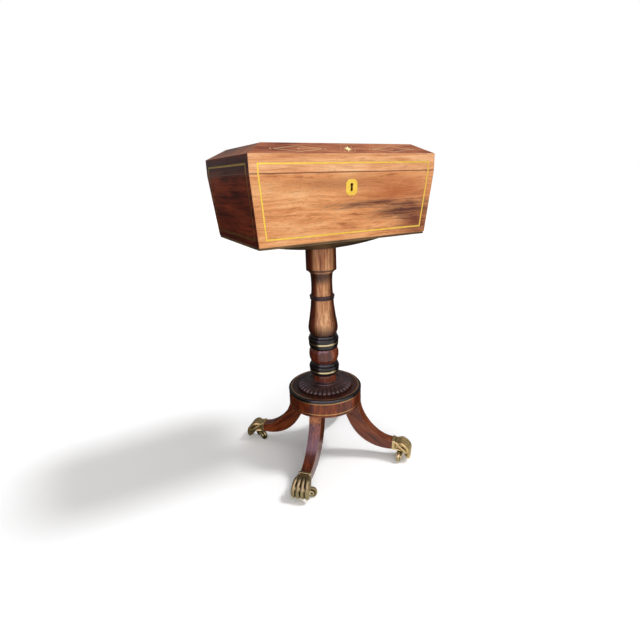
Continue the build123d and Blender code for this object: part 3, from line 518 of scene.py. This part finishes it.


# %% [markdown]
# ## Woods of the stand
# The column is turned from solid wood, so its grain runs upwards. A broad band down its front is
# painted lighter, as highlight, and its back is darker. Under the capital, in the cove and at the
# foot of the vase it is painted darker, as shade and partly dirt. The bulb and the foot keep a
# thick, wet-looking polish. The legs are sawn with the grain along them, and the front left one has
# a painted highlight at its knee. The platform is wrapped in veneer with the grain upright, and its
# top is painted darker, as the shade under the box.

# %% Turned and sawn woods
turned_wood = rosewood(
    "rosewood, turned", ("#1E0A06", "#3C180D", "#642D18", "#7E4126"), 0, 90,
    streak="#2A1008", streak_share=0.6, width=2.6, length=18, figure=5, coat=0.5, shine=0.16,
    # Its front painted lighter, as highlight.
    painted_lit_side=(("#6A341C", "#B0724A", "#DDA475", "#EDBC8E"), 252, 38), drift=0.2,
    # The cove's front painted darker, as shade.
    flames=[("#34170D", 0.9, (-18, -26, 477), (24, 30, 17))],
    # At the vase's foot, the cove's top and under the capital, painted darker as shade and partly
    # dirt.
    shade_and_dirt_levels=[(316, 330, 342, 364), (458, 480, 486, 488), (492.0, 492.3, 496.4, 497.2)],
)
dark_turned_wood = rosewood(
    "rosewood, turned, dark", ("#260D07", "#4C1D10", "#78351C", "#95502C"), 0, 90,
    width=3.0, length=12, figure=6, coat=1.0, shine=0.08, drift=1.1,
)
# A painted highlight at the knee of the front left leg.
painted_knee_highlight = ("#C07C4C", 0.9, (-67, -67, 136), (17, 17, 10))
leg_woods = {
    corner: rosewood(
        f"rosewood, sawn, {corner}".replace("_", " "), ("#230B05", "#4E1F0F", "#77391B", "#93502B"),
        angle, 38, width=3.0, length=16, figure=7, coat=0.55, shine=0.13, drift=angle / 90,
        flames=[painted_knee_highlight] if corner == "front_left" else [],
    )
    for corner, angle in leg_angles.items()
}
drum_veneer = rosewood(
    "rosewood veneer, platform", ("#200B06", "#4A1C0C", "#7E3A18", "#A8582A"), 0, 90,
    streak="#140705", width=2.2, length=10, figure=4, coat=0.45, shine=0.12, drift=0.7,
    # Its top face painted darker, as the shade under the box.
    shade_and_dirt_levels=[(188.6, 189.0, 195, 196)],
)
print(len(bpy.data.materials), "materials so far")


# %% [markdown]
# ## Ebonised wood
# The rings of the column and the nosing of the platform are stained black, as a cheap ebony, and
# then polished. The stain leaves a warm brown in the thinnest places. The carved collar and the
# beads hold less polish, and dusting has brought up more of the brown.

# %% Ebonised wood
def ebonised_wood(name="ebonised wood", dark="#060404", worn="#170E0B", shine=0.12):
    """Black stain, brown where it is thin; shine is the roughness of the polish over it."""
    material, tree, shader = new_material(name)
    place = add(tree, "TexCoord").outputs["Object"]
    cloudy = add(tree, "TexNoise", {"Vector": place, "Scale": 1 / (14 * mm), "Detail": 4.0})
    inputs = {
        "Base Color": add(tree, "ValToRGB", cloudy, stops=[(0.35, dark), (0.75, worn)]),
        "Roughness": 0.3 + 0.5 * shine,
        "Specular IOR Level": 0.25,
        "Coat Weight": 0.65 - 0.5 * shine,
        "Coat Roughness": shine,
    }
    fill(tree, shader, inputs)
    return material


black_wood = ebonised_wood()
carved_wood = ebonised_wood("ebonised wood, carved", "#1C100E", "#442A25", 0.3)
print("made", black_wood.name, "and", carved_wood.name)


# %% [markdown]
# ## Brass
# The brass is rolled sheet where it is inlaid and cast where it is a foot. The lines on the box are
# rubbed bright each time the wood is polished. The hoops and the lines on the lid and platform are
# duller, because wax lies over them, and the star is pale and hardly shines. The feet are sand
# cast, which leaves a soft grain, and a century of wax and dirt has gone dark in their hollows and
# stayed bright on their ridges.

# %% Brass materials
def bright_brass(name="brass, inlaid", base="#FFE066", roughness=0.3, dull="#E2B040", metal=1.0):
    """Sheet brass that is dull in patches; less metal shows through where wax lies over it."""
    material, tree, shader = new_material(name)
    place = add(tree, "TexCoord").outputs["Object"]
    tarnish = add(tree, "TexNoise", {"Vector": place, "Scale": 1 / (9 * mm), "Detail": 4.0})
    colour = add(tree, "Mix", {0: tarnish, 6: base, 7: dull}, data_type="RGBA").outputs[2]
    fill(tree, shader, {"Base Color": colour, "Metallic": metal, "Roughness": roughness})
    return material


def cast_brass(name, shades):
    """Worn to the first shade on the ridges and dark to the last one in the grooves."""
    material, tree, shader = new_material(name)
    place = add(tree, "TexCoord").outputs["Object"]
    patches = add(tree, "TexNoise", {"Vector": place, "Scale": 1 / (7 * mm), "Detail": 5.0})
    grit = add(tree, "TexNoise", {"Vector": place, "Scale": 1 / (2.4 * mm), "Detail": 5.0})
    hollow = add(tree, "Attribute", attribute_name="hollow").outputs["Fac"]
    worn = add(tree, "Math", patches, 0.35, hollow, operation="MULTIPLY_ADD")
    stops = list(zip((0.34, 0.58, 0.82, 1.0), shades))
    inputs = {
        "Base Color": add(tree, "ValToRGB", worn, stops=stops),
        "Roughness": add(tree, "MapRange", worn, 0.3, 1.0, 0.28, 0.55),
        "Normal": add(tree, "Bump", {"Height": grit, "Strength": 0.5, "Distance": 0.5 * mm}),
        "Metallic": 0.9,
    }
    fill(tree, shader, inputs)
    return material


inlaid_brass = bright_brass()
hoop_brass = bright_brass("brass, hoops", "#EAD9AE", 0.3, "#B49A66")
pale_brass = bright_brass("brass, lid inlay", "#F4E0B4", 0.4, "#D9BE8A", 0.6)
dull_brass = bright_brass("brass, platform lines", "#E0B06C", 0.35, "#9E6E3C")
star_brass = bright_brass("brass, star", "#FFF6C0", 0.5, "#FBE8A0", 0.15)
aged_brass = cast_brass("brass, cast and aged", ("#FAE8B0", "#CDB57C", "#86744A", "#221B10"))
grimy_brass = cast_brass("brass, cast and grimy", ("#E2D29A", "#A09268", "#665A42", "#14110C"))
print(sum(m.name.startswith("brass") for m in bpy.data.materials), "kinds of brass")


# %% [markdown]
# ## Plain woods, steel and glass
# The underside is a pale timber stained dark, with no polish. Inside the box the wood is plain and
# satin. Pins and the lock are steel, grey with darker patches, and the mixing bowls are clear blown
# glass, whose walls ripple a little.

# %% Other materials
def steel():
    """Steel that has rusted in spots and been wiped clean again."""
    material, tree, shader = new_material("steel, aged")
    place = add(tree, "TexCoord").outputs["Object"]
    patches = add(tree, "TexNoise", {"Vector": place, "Scale": 1 / (3 * mm), "Detail": 4.0})
    colour = add(tree, "ValToRGB", patches, stops=[(0.3, "#6A6660"), (0.7, "#3C3833")])
    fill(tree, shader, {"Base Color": colour, "Metallic": 1.0, "Roughness": 0.42})
    return material


def clear_glass():
    """Clear glass with soft ripples from the blowing."""
    material, tree, shader = new_material("glass, blown")
    place = add(tree, "TexCoord").outputs["Object"]
    ripple = add(tree, "TexNoise", {"Vector": place, "Scale": 1 / (18 * mm), "Detail": 1.0})
    relief = add(tree, "Bump", {"Height": ripple, "Strength": 0.15, "Distance": 0.4 * mm})
    clear = {"Base Color": "#EEF6F5", "Transmission Weight": 1.0, "Roughness": 0.03, "IOR": 1.5}
    fill(tree, shader, {**clear, "Normal": relief})
    return material


under_wood = rosewood(
    "stained oak", ("#2A2114", "#4A3C28", "#665438", "#7E6A48"), streak="#15100A",
    width=3, length=16, figure=4, coat=0.0,
)
inside_wood = rosewood(
    "rosewood, inside", ("#3A1C11", "#5E3120", "#84492E", "#A0603D"), 90,
    width=3.2, length=14, figure=7, shine=0.3, drift=3.1,
)
grey_steel = steel()
glass = clear_glass()
print(len(bpy.data.materials), "materials in all")


# %% [markdown]
# ## Shapes from distances
# The paws and castors were modelled in wax and cast, so one form melts into the next. A field of
# distances can draw that. Each toe, ridge and claw is a tapered round bar, and a function gives the
# distance from any point in space to the nearest bar. Where two forms meet, the smaller distance is
# rounded over, as a finger smooths wax. The surface is where the distance is zero, and `skin` finds
# it on a fine grid of cubes.

# %% Distance helpers
def smooth_line(stations, steps=3):
    """Catmull-Rom curve through stations: each span is the cubic that its four neighbours give."""
    points = np.array(stations, float)
    held = np.vstack([2 * points[0] - points[1], points, 2 * points[-1] - points[-2]])
    before, start, end, after = (held[i : len(held) - 3 + i, None] for i in range(4))
    share = np.linspace(0, 1, steps, endpoint=False)[:, None]
    curve = start + 0.5 * share * (end - before)
    curve = curve + share**2 * (before - 2.5 * start + 2 * end - 0.5 * after)
    curve = curve + share**3 * (1.5 * start - 0.5 * before - 1.5 * end + 0.5 * after)
    return np.vstack([curve.reshape(-1, points.shape[1]), points[-1]])


def tube(place, start, end):
    """Distance to a tapered bar: to the nearest point on its axis, less the bar's radius there."""
    axis = end[:-1] - start[:-1]
    share = np.clip(((place - start[:-1]) @ axis) / (axis @ axis), 0, 1)
    nearest = start[:-1] + share[..., None] * axis
    return np.linalg.norm(place - nearest, axis=-1) - (start[-1] + share * (end[-1] - start[-1]))


def chain(place, *stations):
    """Distance to a curved bar through stations, each a point and a radius."""
    line = smooth_line(stations)
    return np.minimum.reduce([tube(place, a, b) for a, b in zip(line, line[1:])])


def blended(first, second, reach):
    """The smaller of two distances, rounded over where they differ by less than reach."""
    near = np.clip(0.5 + 0.5 * (second - first) / reach, 0, 1)
    return second + (first - second) * near - reach * near * (1 - near)


def rounded_box(beyond, rounding):
    """Distance to a solid from its distances past each pair of faces, with its edges rounded."""
    beyond = beyond + rounding
    outside = np.linalg.norm(np.maximum(beyond, 0), axis=-1)
    return outside + np.minimum(beyond.max(axis=-1), 0) - rounding


def skin(distance, low, step):
    """Points and quads where a grid of distances passes zero.

    A cube whose corners differ in sign gets one point, the mean of the zeros on its edges. A grid
    edge that changes sign gets a quad through the four cubes round it.
    """
    cubes = np.array(distance.shape) - 1
    total, hits = np.zeros((*cubes, 3)), np.zeros(cubes)
    for axis, *corner in [(k, *c) for k in range(3) for c in np.ndindex(2, 2, 2) if not c[k]]:
        first, second = (
            distance[tuple(slice(c, c + n) for c, n in zip(place, cubes))]
            for place in (corner, [c or i == axis for i, c in enumerate(corner)])
        )
        crosses = (first < 0) != (second < 0)
        share = np.where(crosses, first / np.where(crosses, first - second, 1), 0)
        total += (np.array(corner) + share[..., None] * np.eye(3)[axis]) * crosses[..., None]
        hits += crosses
    used = hits > 0
    number = np.full(cubes, -1)
    number[used] = np.arange(used.sum())
    points = low + step * (np.argwhere(used) + total[used] / hits[used][:, None])
    quads = []
    for axis in range(3):
        order = (axis, (axis + 1) % 3, (axis + 2) % 3)
        value, cube = distance.transpose(order), number.transpose(order)
        first, second = value[:-1, 1:-1, 1:-1], value[1:, 1:-1, 1:-1]
        crosses = (first < 0) != (second < 0)
        ring = [cube[:, :-1, :-1], cube[:, 1:, :-1], cube[:, 1:, 1:], cube[:, :-1, 1:]]
        ring = np.stack([r[crosses] for r in ring], -1)
        inward = (second < 0)[crosses]
        ring[inward] = ring[inward][:, ::-1]
        quads.append(ring)
    return points, np.concatenate(quads)


def wear(field, points, reach=2.5):
    """How hollow the surface is, from 0 on a ridge to 1 in a groove, and 0.5 where it is flat.

    The distance is read at equal steps outside and inside the surface. Outside a groove it is
    less than the step, because the other side of the groove is near, and inside a ridge likewise.
    """
    slopes = [field(points + 0.05 * e) - field(points - 0.05 * e) for e in np.eye(3)]
    normal = np.stack(slopes, -1)
    normal /= np.linalg.norm(normal, axis=-1, keepdims=True) + 1e-9
    groove = np.clip(1 - field(points + reach * normal) / reach, 0, 1)
    ridge = np.clip(1 + field(points - reach * normal) / reach, 0, 1)
    return np.clip(0.5 + 0.5 * groove - 0.5 * ridge, 0, 1)


def cast_shape(field, low, high, step):
    """The skin of a field that is the same on both sides of y = 0, and how hollow it is."""
    axes = [np.arange(a, b, step) for a, b in zip((low[0], 0, low[2]), high)]
    half = field(np.stack(np.meshgrid(*axes, indexing="ij"), -1))
    whole = np.concatenate([half[:, :0:-1], half], axis=1)
    points, quads = skin(whole, np.array((low[0], -axes[1][-1], low[2])), step)
    return points, quads, wear(field, points)


# %% [markdown]
# ## Making a piece
# A shape is worked out once, in millimetres, and then turned and moved to each place where it is
# used. The place goes into the mesh's own points, so the object itself stays at the origin. Each
# piece stands for one piece of the construction model and rides on the same body.

# %% Make a piece from points and quads
slots = {part["node"]: part["material_slot"] for part in frame["record"]["subparts"]}


def turned_about(points, degrees, centre=(0, 0)):
    """Points turned about the vertical by an angle, then moved from the origin to centre."""
    cosine, sine = math.cos(math.radians(degrees)), math.sin(math.radians(degrees))
    x, y = points[:, 0], points[:, 1]
    across = (centre[0] + cosine * x - sine * y, centre[1] + sine * x + cosine * y)
    return np.stack([*across, points[:, 2]], -1)


def make_piece(name, points, quads, material, part, hollow=None, crease=None, instead=True):
    """A smooth mesh from points in millimetres, instead of a construction piece or on it."""
    mesh = bpy.data.meshes.new(name)
    mesh.from_pydata((points * mm).tolist(), [], quads.tolist())
    mesh.update()
    mesh.shade_smooth()
    if crease:
        mesh.set_sharp_from_angle(angle=math.radians(crease))
    if hollow is not None:
        values = mesh.attributes.new("hollow", "FLOAT", "POINT")
        values.data.foreach_set("value", hollow)
    mesh.materials.append(material)
    piece = bpy.data.objects.new(name, mesh)
    bpy.context.scene.collection.objects.link(piece)
    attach(piece, body_of(nodes[part])[0])
    if instead:
        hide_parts(part)
    return piece


print("slots:", ", ".join(sorted(set(slots.values()))))


# %% [markdown]
# ## Lion's paws
# A paw has a plain collar round the end of the leg, four ridged toes with claws, and on each side
# a bright ridge that runs down from the collar to the outer toe, with a dark hollow under it. The
# toes are cut off above the castor, which turns in the notch behind them. The field is worked out
# for one side and mirrored, and one paw serves all four legs.

# %% Paw field
notch_height, notch_end = 26.0, 213.5


def paw_field(place):
    """Distance to the paw of a leg that runs along X, in millimetres."""
    place = place * (1, 0, 1) + np.abs(place * (0, 1, 0))
    x, y, z = np.moveaxis(place, -1, 0)
    collar = rounded_box(np.abs(place - (183.5, 0, 38.9)) - (3.5, 14.5, 12.8), 1.2)
    half_width = np.interp(x, (186, 196, 212, 218), (11.8, 12.6, 16.0, 16.5))
    top = np.interp(x, (186, 195, 203, 212, 222), (49.0, 49.0, 47.4, 43.6, 34.5))
    sides = np.stack([y - half_width, z - top, notch_height - z, 185 - x, x - 219], -1)
    heel = rounded_box(np.abs(place - (219.0, 0, 24)) - (5, 16, 13), 3)
    body = blended(sides.max(axis=-1), heel, 3)
    toes = [
        chain(
            place, (189.0, 5.2 * out, 45.2, 3.3), (197.0, 7.3 * out, 46.2, 4.3),
            (205.0, 9.1 * out, 46.2, 5.2), (212.5, 10.0 * out, 42.2, 4.9),
            (219.0, 10.6 * out, 35.6, 4.9), (222.6, 11.0 * out, 27.5, 5.5),
            (223.2, 11.1 * out, 19.5, 5.3), (221.6, 11.1 * out, 13.6, 4.6),
        )
        for out in (0.5, 1.5)
    ]
    claws = [
        chain(
            place, (224.6, 10.9 * out, 20.5, 2.2), (226.2, 11.0 * out, 15.5, 2.2),
            (226.2, 11.1 * out, 11.5, 1.6), (225.2, 11.1 * out, 9.3, 0.8),
        )
        for out in (0.5, 1.5)
    ]
    ridge = chain(
        place, (187.5, 12.6, 48.2, 2.2), (195.0, 15.0, 42.6, 3.1), (203.0, 17.0, 36.6, 3.9),
        (210.5, 17.9, 31.2, 4.1), (217.0, 17.6, 26.0, 3.6),
    )
    spur = chain(place, (200.0, 15.8, 38.6, 2.2), (206.5, 14.6, 44.6, 3.2))
    flange = chain(
        place, (187.0, 12.4, 28.3, 2.0), (198.0, 14.6, 28.2, 2.1), (210.0, 16.6, 28.2, 2.4)
    )
    foot = blended(np.minimum(*toes), body, 1.5)
    foot = blended(foot, np.minimum.reduce([ridge, spur, flange]), 1.2)
    foot = np.minimum.reduce([foot, collar, *claws])
    notch = np.maximum(z - notch_height, x - notch_end)
    return np.maximum(foot, -notch)


# %% Four paws
paw_low, paw_high, paw_step = (178, 0, 5), (231, 24, 54), 0.55
paw_points, paw_quads, paw_hollow = cast_shape(paw_field, paw_low, paw_high, paw_step)
for corner, angle in leg_angles.items():
    place = turned_about(paw_points, angle)
    metal = grimy_brass if corner == "front_left" else aged_brass
    make_piece(f"lion_paw_{corner}", place, paw_quads, metal, f"paw_cap_{corner}", paw_hollow)
print("each paw has", len(paw_quads), "quads")


# %% [markdown]
# ## Castors
# A castor's horn is a neck that turns on the pivot pin and two cheeks, curved like commas, that
# carry the axle. A raised bead runs round each cheek. The horn is one more field of distances. The
# wheel is turned brass with a crowned tread and a sunk web, so it is a profile carried round the
# axle. Each is worked out with its pivot at the origin and its wheel along X.

# %% Castor shapes
castor_headings = {
    "front_left": 324.9,
    "front_right": 220.2,
    "back_left": 286.8,
    "back_right": 210.0,
}
pivot_radius, pin_bore = 201.0, 2.6
axle_x, axle_z = 20.5, 12.5


def horn_field(place):
    """Distance to the horn: a bored neck, and two flat commas on either side of the wheel."""
    x, y, z = place[..., 0], np.abs(place[..., 1]), place[..., 2]
    from_pin = np.hypot(x, y)
    width = np.interp(z, (7, 9, 11, 22, 23.2, 25.7), (6.2, 6.5, 5.8, 5.8, 6.5, 6.4))
    neck = rounded_box(np.stack([from_pin - width, np.abs(z - 16.35) - 9.35], -1), 0.6)
    flat = np.stack([x, z], -1)
    comma = chain(flat, (2, 15.5, 6.6), (8, 16.2, 5.2), (14.5, 15, 4.8), (axle_x, axle_z, 5.6))
    cheek = rounded_box(np.stack([comma, np.abs(y - 5.4) - 1.1], -1), 0.5)
    root = rounded_box(np.stack([comma, y - 6.5, x - 7], -1), 0.5)
    bead = np.hypot(comma + 0.9, y - 6.5) - 0.6
    horn = np.minimum.reduce([neck, cheek, root, bead])
    return np.maximum(horn, pin_bore - from_pin)


def lathe(profile, around=72):
    """A closed profile of (radius, height) carried round the vertical: a torus of quads."""
    radius, height = np.array(profile, float).T
    turn = np.linspace(0, 2 * np.pi, around, endpoint=False)[:, None]
    grid = np.stack([radius * np.cos(turn), radius * np.sin(turn), height + 0 * turn], -1)
    return grid.reshape(-1, 3), torus_quads(around, len(radius))


def torus_quads(rows, columns):
    """Quads of a grid of points whose rows and columns both close on themselves."""
    row, column = np.meshgrid(np.arange(rows), np.arange(columns), indexing="ij")
    after, beside = (row + 1) % rows, (column + 1) % columns
    corners_of = [(row, column), (after, column), (after, beside), (row, beside)]
    return np.stack([(a * columns + b).ravel() for a, b in corners_of], -1)


half_wheel = [(2.1, -3.2), (4.4, -3.2), (4.9, -2.6), (5.4, -2.1), (9.0, -2.1), (9.6, -2.7)]
half_wheel += [(9.9, -3.6), (10.5, -4.0), (11.3, -4.0), (11.9, -3.6), (12.25, -2.6), (12.45, -1.2)]
wheel_profile = half_wheel + [(radius, -height) for radius, height in half_wheel[::-1]]


# %% Four castors
horn_low, horn_high, horn_step = (-8, 0, 6), (27.5, 8, 27), 0.4
horn_points, horn_quads, horn_hollow = cast_shape(horn_field, horn_low, horn_high, horn_step)
flat_wheel, wheel_quads = lathe(wheel_profile)
across, beside, along = flat_wheel.T
standing_wheel = np.stack([axle_x + across, along, axle_z - beside], -1)
wheel_hollow = np.clip(1.05 - 0.055 * np.hypot(across, beside), 0.35, 0.8)
wheel_crease = 40
for corner, angle in leg_angles.items():
    pivot_angle = math.radians(angle)
    pivot = (pivot_radius * math.cos(pivot_angle), pivot_radius * math.sin(pivot_angle))
    heading = castor_headings[corner]
    horn = turned_about(horn_points, heading, pivot)
    wheel = turned_about(standing_wheel, heading, pivot)
    horn_part, wheel_part = f"castor_horn_{corner}", f"castor_wheel_{corner}"
    make_piece(f"horn_{corner}", horn, horn_quads, grimy_brass, horn_part, horn_hollow)
    make_piece(
        f"wheel_{corner}", wheel, wheel_quads, grimy_brass, wheel_part, wheel_hollow, wheel_crease
    )
print("each horn has", len(horn_quads), "quads")


# %% [markdown]
# ## Gadrooned collar
# Gadroons are a row of carved lobes, each round at its outer end and running out towards the
# middle. The collar is a turned cushion with a small bead inside it. Its surface is a function of
# the angle and of the way along the outline: the outline is pushed in along its normal, by nothing
# at the middle of a lobe and by most at its edges, as the height of a circle's arc falls away.

# %% Gadrooned collar
drum_top, collar_bore = 189.4, 30.5
lobes, lobe_depth = 36, 4.4
lobe_inner_end, lobe_full_depth = 49.0, 58.0
cushion = [(69.6, 0), (71.3, 3.2), (71.0, 6.4), (68.4, 9.2), (64, 11.5), (57, 13.2), (49, 14.2)]
cushion += [(42.4, 14.7)]
bead = [(41.4, 15.2), (40.7, 16.4), (39.2, 17.0), (37.7, 16.4), (37.0, 15.1)]
cove = [(34.5, 15.4), (32, 16.4), (collar_bore, 17.8)]


def gadrooned(depth, across=16):
    """Radius, angle and height of the collar, with its outline pushed in between the lobes."""
    edge = np.vstack([smooth_line(cushion, 5), smooth_line(bead, 3), smooth_line(cove, 2)])
    slope = np.gradient(edge, axis=0)
    normal = np.stack([slope[:, 1], -slope[:, 0]], -1)
    normal /= np.linalg.norm(normal, axis=1, keepdims=True)
    steps = np.linspace(-1, 1, across, endpoint=False)
    half = math.pi / lobes
    angle = (np.arange(lobes)[:, None] * 2 * half + half * np.sin(np.pi / 2 * steps)).ravel()
    valley = np.tile(1 - np.cos(np.pi / 2 * steps), lobes)[:, None]
    share = np.clip((edge[:, 0] - lobe_inner_end) / (lobe_full_depth - lobe_inner_end), 0, 1)
    share = share**2 * (3 - 2 * share)
    push = depth * valley * share
    radius = edge[:, 0] - push * normal[:, 0]
    height = np.maximum(edge[:, 1] - push * normal[:, 1], 0)
    bore, floor = np.full((len(angle), 1), collar_bore), np.zeros((len(angle), 1))
    radius, height = np.hstack([radius, bore]), np.hstack([height, floor])
    place = (radius * np.cos(angle[:, None]), radius * np.sin(angle[:, None]), drum_top + height)
    hollow = np.hstack([valley * share, floor])
    return np.stack(place, -1).reshape(-1, 3), torus_quads(*radius.shape), hollow.ravel()


collar_points, collar_quads, collar_hollow = gadrooned(lobe_depth)
make_piece(
    "collar_carved", collar_points, collar_quads, carved_wood, "gadroon_collar", collar_hollow, 50
)
print("the collar has", len(collar_quads), "quads")


# %% [markdown]
# ## Column
# The shaft is one turning: a capital, a cove, a double bead and a vase. A turner cuts a deep line on
# each side of a moulding with the tip of a skew chisel, and the shade in the line under the capital
# is painted into the wood as well. The profile is carried round the vertical, with a Catmull-Rom
# curve for each long sweep. The double bead is stained black like the rings below.

# %% Turned shaft
column_top, vase_bottom, column_bore = 547.5, 332.0, 14
capital = [(column_bore, column_top), (36.4, column_top), (36.4, 546.9), (36.6, 494.2)]
capital += [(36.3, 493.5), (35.6, 493.2), (29.4, 493.0), (28.8, 492.2), (29.4, 491.6)]
capital += [(30.6, 491.2), (31.0, 489.9), (30.6, 488.6), (29.2, 488.2)]
cove_line = [(28.0, 488), (27.0, 483), (26.1, 473), (25.7, 458), (26.0, 445), (27.0, 432.5)]
vase = [(27.4, 421.5), (28.2, 413), (29.6, 399), (32.2, 380), (35.2, 362), (36.7, 350)]
vase += [(36.2, 342), (34.2, 336), (31.0, 332.1)]
shaft_profile = np.vstack(
    [capital, smooth_line(cove_line, 5), smooth_line(vase, 5), [(column_bore, vase_bottom)]]
)
shaft_points, shaft_quads = lathe(shaft_profile, 96)
make_piece("turned_shaft", shaft_points, shaft_quads, turned_wood, "column_shaft", crease=30)


def half_round(radius, low, high, depth, count=9):
    """Half a circle in profile, from (radius, low) out by depth and back to (radius, high)."""
    turn = np.linspace(-np.pi / 2, np.pi / 2, count)
    middle, half = (low + high) / 2, (high - low) / 2
    return np.stack([radius + depth * np.cos(turn), middle + half * np.sin(turn)], -1)


bead_profile = np.vstack(
    [
        [(26.0, 421.0)],
        half_round(27.6, 421.2, 425.2, 2.2),
        half_round(27.4, 425.9, 432.3, 3.4),
        [(26.0, 432.6)],
    ]
)
bead_points, bead_quads = lathe(bead_profile[::-1], 96)
make_piece("double_bead", bead_points, bead_quads, carved_wood, "column_shaft", crease=40)
print("the shaft has", len(shaft_quads), "quads and the bead", len(bead_quads))


# %% [markdown]
# ## Edge of the lid
# The lid rests on the body, and the construction model leaves a fine gap there for the hinge to
# work. Without something in it, light shows through at the corners. A flat frame of four mitred
# strips of black wood fills the gap, as painted shade in the joint.

# %% Painted shade in the lid's joint
wall_thickness, gap_shade_clearance, gap_shade_inset = 8.0, 0.05, 0.15


def frame_strip(half_width, half_depth, inner_width, inner_depth, low, high):
    """A flat ring of rectangular section between two rectangles: four points at each corner."""
    signs = np.array([(-1, -1), (1, -1), (1, 1), (-1, 1)], float)
    outer, inner = signs * (half_width, half_depth), signs * (inner_width, inner_depth)
    rings = [(outer, low), (outer, high), (inner, high), (inner, low)]
    levels = [np.column_stack([ring, np.full(4, level)]) for ring, level in rings]
    return np.stack(levels, axis=1).reshape(-1, 3), torus_quads(4, 4)


wall_boxes = [
    np.array(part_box(f"body_{side}")) / mm for side in ("front", "back", "left", "right")
]
body_low = np.min([low for low, high in wall_boxes], axis=0)
body_high = np.max([high for low, high in wall_boxes], axis=0)
half_sizes = (body_high - body_low)[:2] / 2 - gap_shade_inset
middle = (body_high + body_low)[:2] / 2
# A black strip in the joint, standing for its shade.
gap_shade_points, gap_shade_quads = frame_strip(
    *half_sizes, *(half_sizes - wall_thickness), body_high[2] + gap_shade_clearance, joint - gap_shade_clearance
)
gap_shade_points[:, :2] += middle
print("lip height", round(joint - body_high[2], 2), "mm")
make_piece("lid_gap_shade", gap_shade_points, gap_shade_quads, black_wood, "lid_front", crease=30, instead=False)


# %% [markdown]
# ## Star on the lid
# The star in the middle of the lid's front slope is cut from thicker, paler brass than the lines. It
# lies flat on the slope, whose plane comes from the inlay of the construction model: the direction
# in which the inlay's points spread least is the plane's normal.

# %% Inlaid star
def inlay_plane(node):
    """Middle, direction up the slope and normal of a flat node, from its principal directions."""
    flat = np.empty(3 * len(node.data.vertices))
    node.data.vertices.foreach_get("co", flat)
    points = flat.reshape(-1, 3) / mm
    spread = np.linalg.svd(points - points.mean(axis=0), full_matrices=False)[2]
    normal = spread[2] * np.sign(spread[2][2])
    up = np.cross(normal, (1.0, 0.0, 0.0))
    centre = points[np.abs(points[:, 0]) < 12].mean(axis=0)
    surface = np.max(points @ normal)
    return centre + (surface - centre @ normal) * normal, up / np.linalg.norm(up), normal


star_reaches = (9.5, 7.0, 11.5, 7.0)
star_waist, star_twist = 4.2, -20
star_rim_rise, star_peak_rise = 0.2, 0.4
corners = np.arange(4 * len(star_reaches))
star_middle, star_up, star_normal = inlay_plane(nodes["lid_inlay"])
star_turn = corners * 2 * np.pi / len(corners) + math.radians(star_twist)
star_radius = np.where(corners % 2, star_waist, np.tile(np.repeat(star_reaches, 2), 2))
sideways = np.outer(star_radius * np.cos(star_turn), (1.0, 0.0, 0.0))
upwards = np.outer(star_radius * np.sin(star_turn), star_up)
star_rim = star_middle + star_rim_rise * star_normal + sideways + upwards
star_peak = star_middle + star_peak_rise * star_normal
star_points = np.vstack([star_rim, star_peak, star_middle])
after = np.roll(corners, -1)
peak, base = np.full_like(corners, len(corners)), np.full_like(corners, len(corners) + 1)
facets = np.vstack([np.stack([corners, after, peak], -1), np.stack([after, corners, base], -1)])
make_piece("star", star_points, facets, star_brass, "lid_inlay", crease=10, instead=False)
print("the star's middle is at", star_middle.round(1), "mm")


# %% [markdown]
# ## Dress the construction pieces
# Most flat pieces already have the right shape, so they only get their material: from a short table
# of names, and otherwise from their material slot in model.json.

# %% Give each construction piece its material
finishes = {
    "body_front": front_veneer,
    "body_back": back_veneer,
    "body_left": side_veneer,
    "body_right": side_veneer,
    "lid_front": rail_veneer,
    "lid_back": back_veneer,
    "lid_left": side_veneer,
    "lid_right": side_veneer,
    "lid_top": lid_veneer,
    "drum": drum_veneer,
    "drum_edge_moulding": black_wood,
    "gadroon_collar": black_wood,
    "ebonised_ring_upper": black_wood,
    "ebonised_ring_lower": black_wood,
    "column_shaft": turned_wood,
    "column_bulb": dark_turned_wood,
    "column_foot": dark_turned_wood,
    **{f"leg_{corner}": wood for corner, wood in leg_woods.items()},
    "column_hoops": hoop_brass,
    "drum_strings": dull_brass,
    "lid_inlay": pale_brass,
    "underside_dish": under_wood,
    "bottom_board": under_wood,
    "mixing_bowls": glass,
}
slot_finishes = {
    "rosewood": turned_wood,
    "brass": inlaid_brass,
    "cast_brass": aged_brass,
    "interior_veneer": inside_wood,
    "steel": grey_steel,
}
for name, node in nodes.items():
    node.data.materials.clear()
    node.data.materials.append(finishes.get(name) or slot_finishes[slots[name]])
print("dressed", len(nodes), "construction pieces")
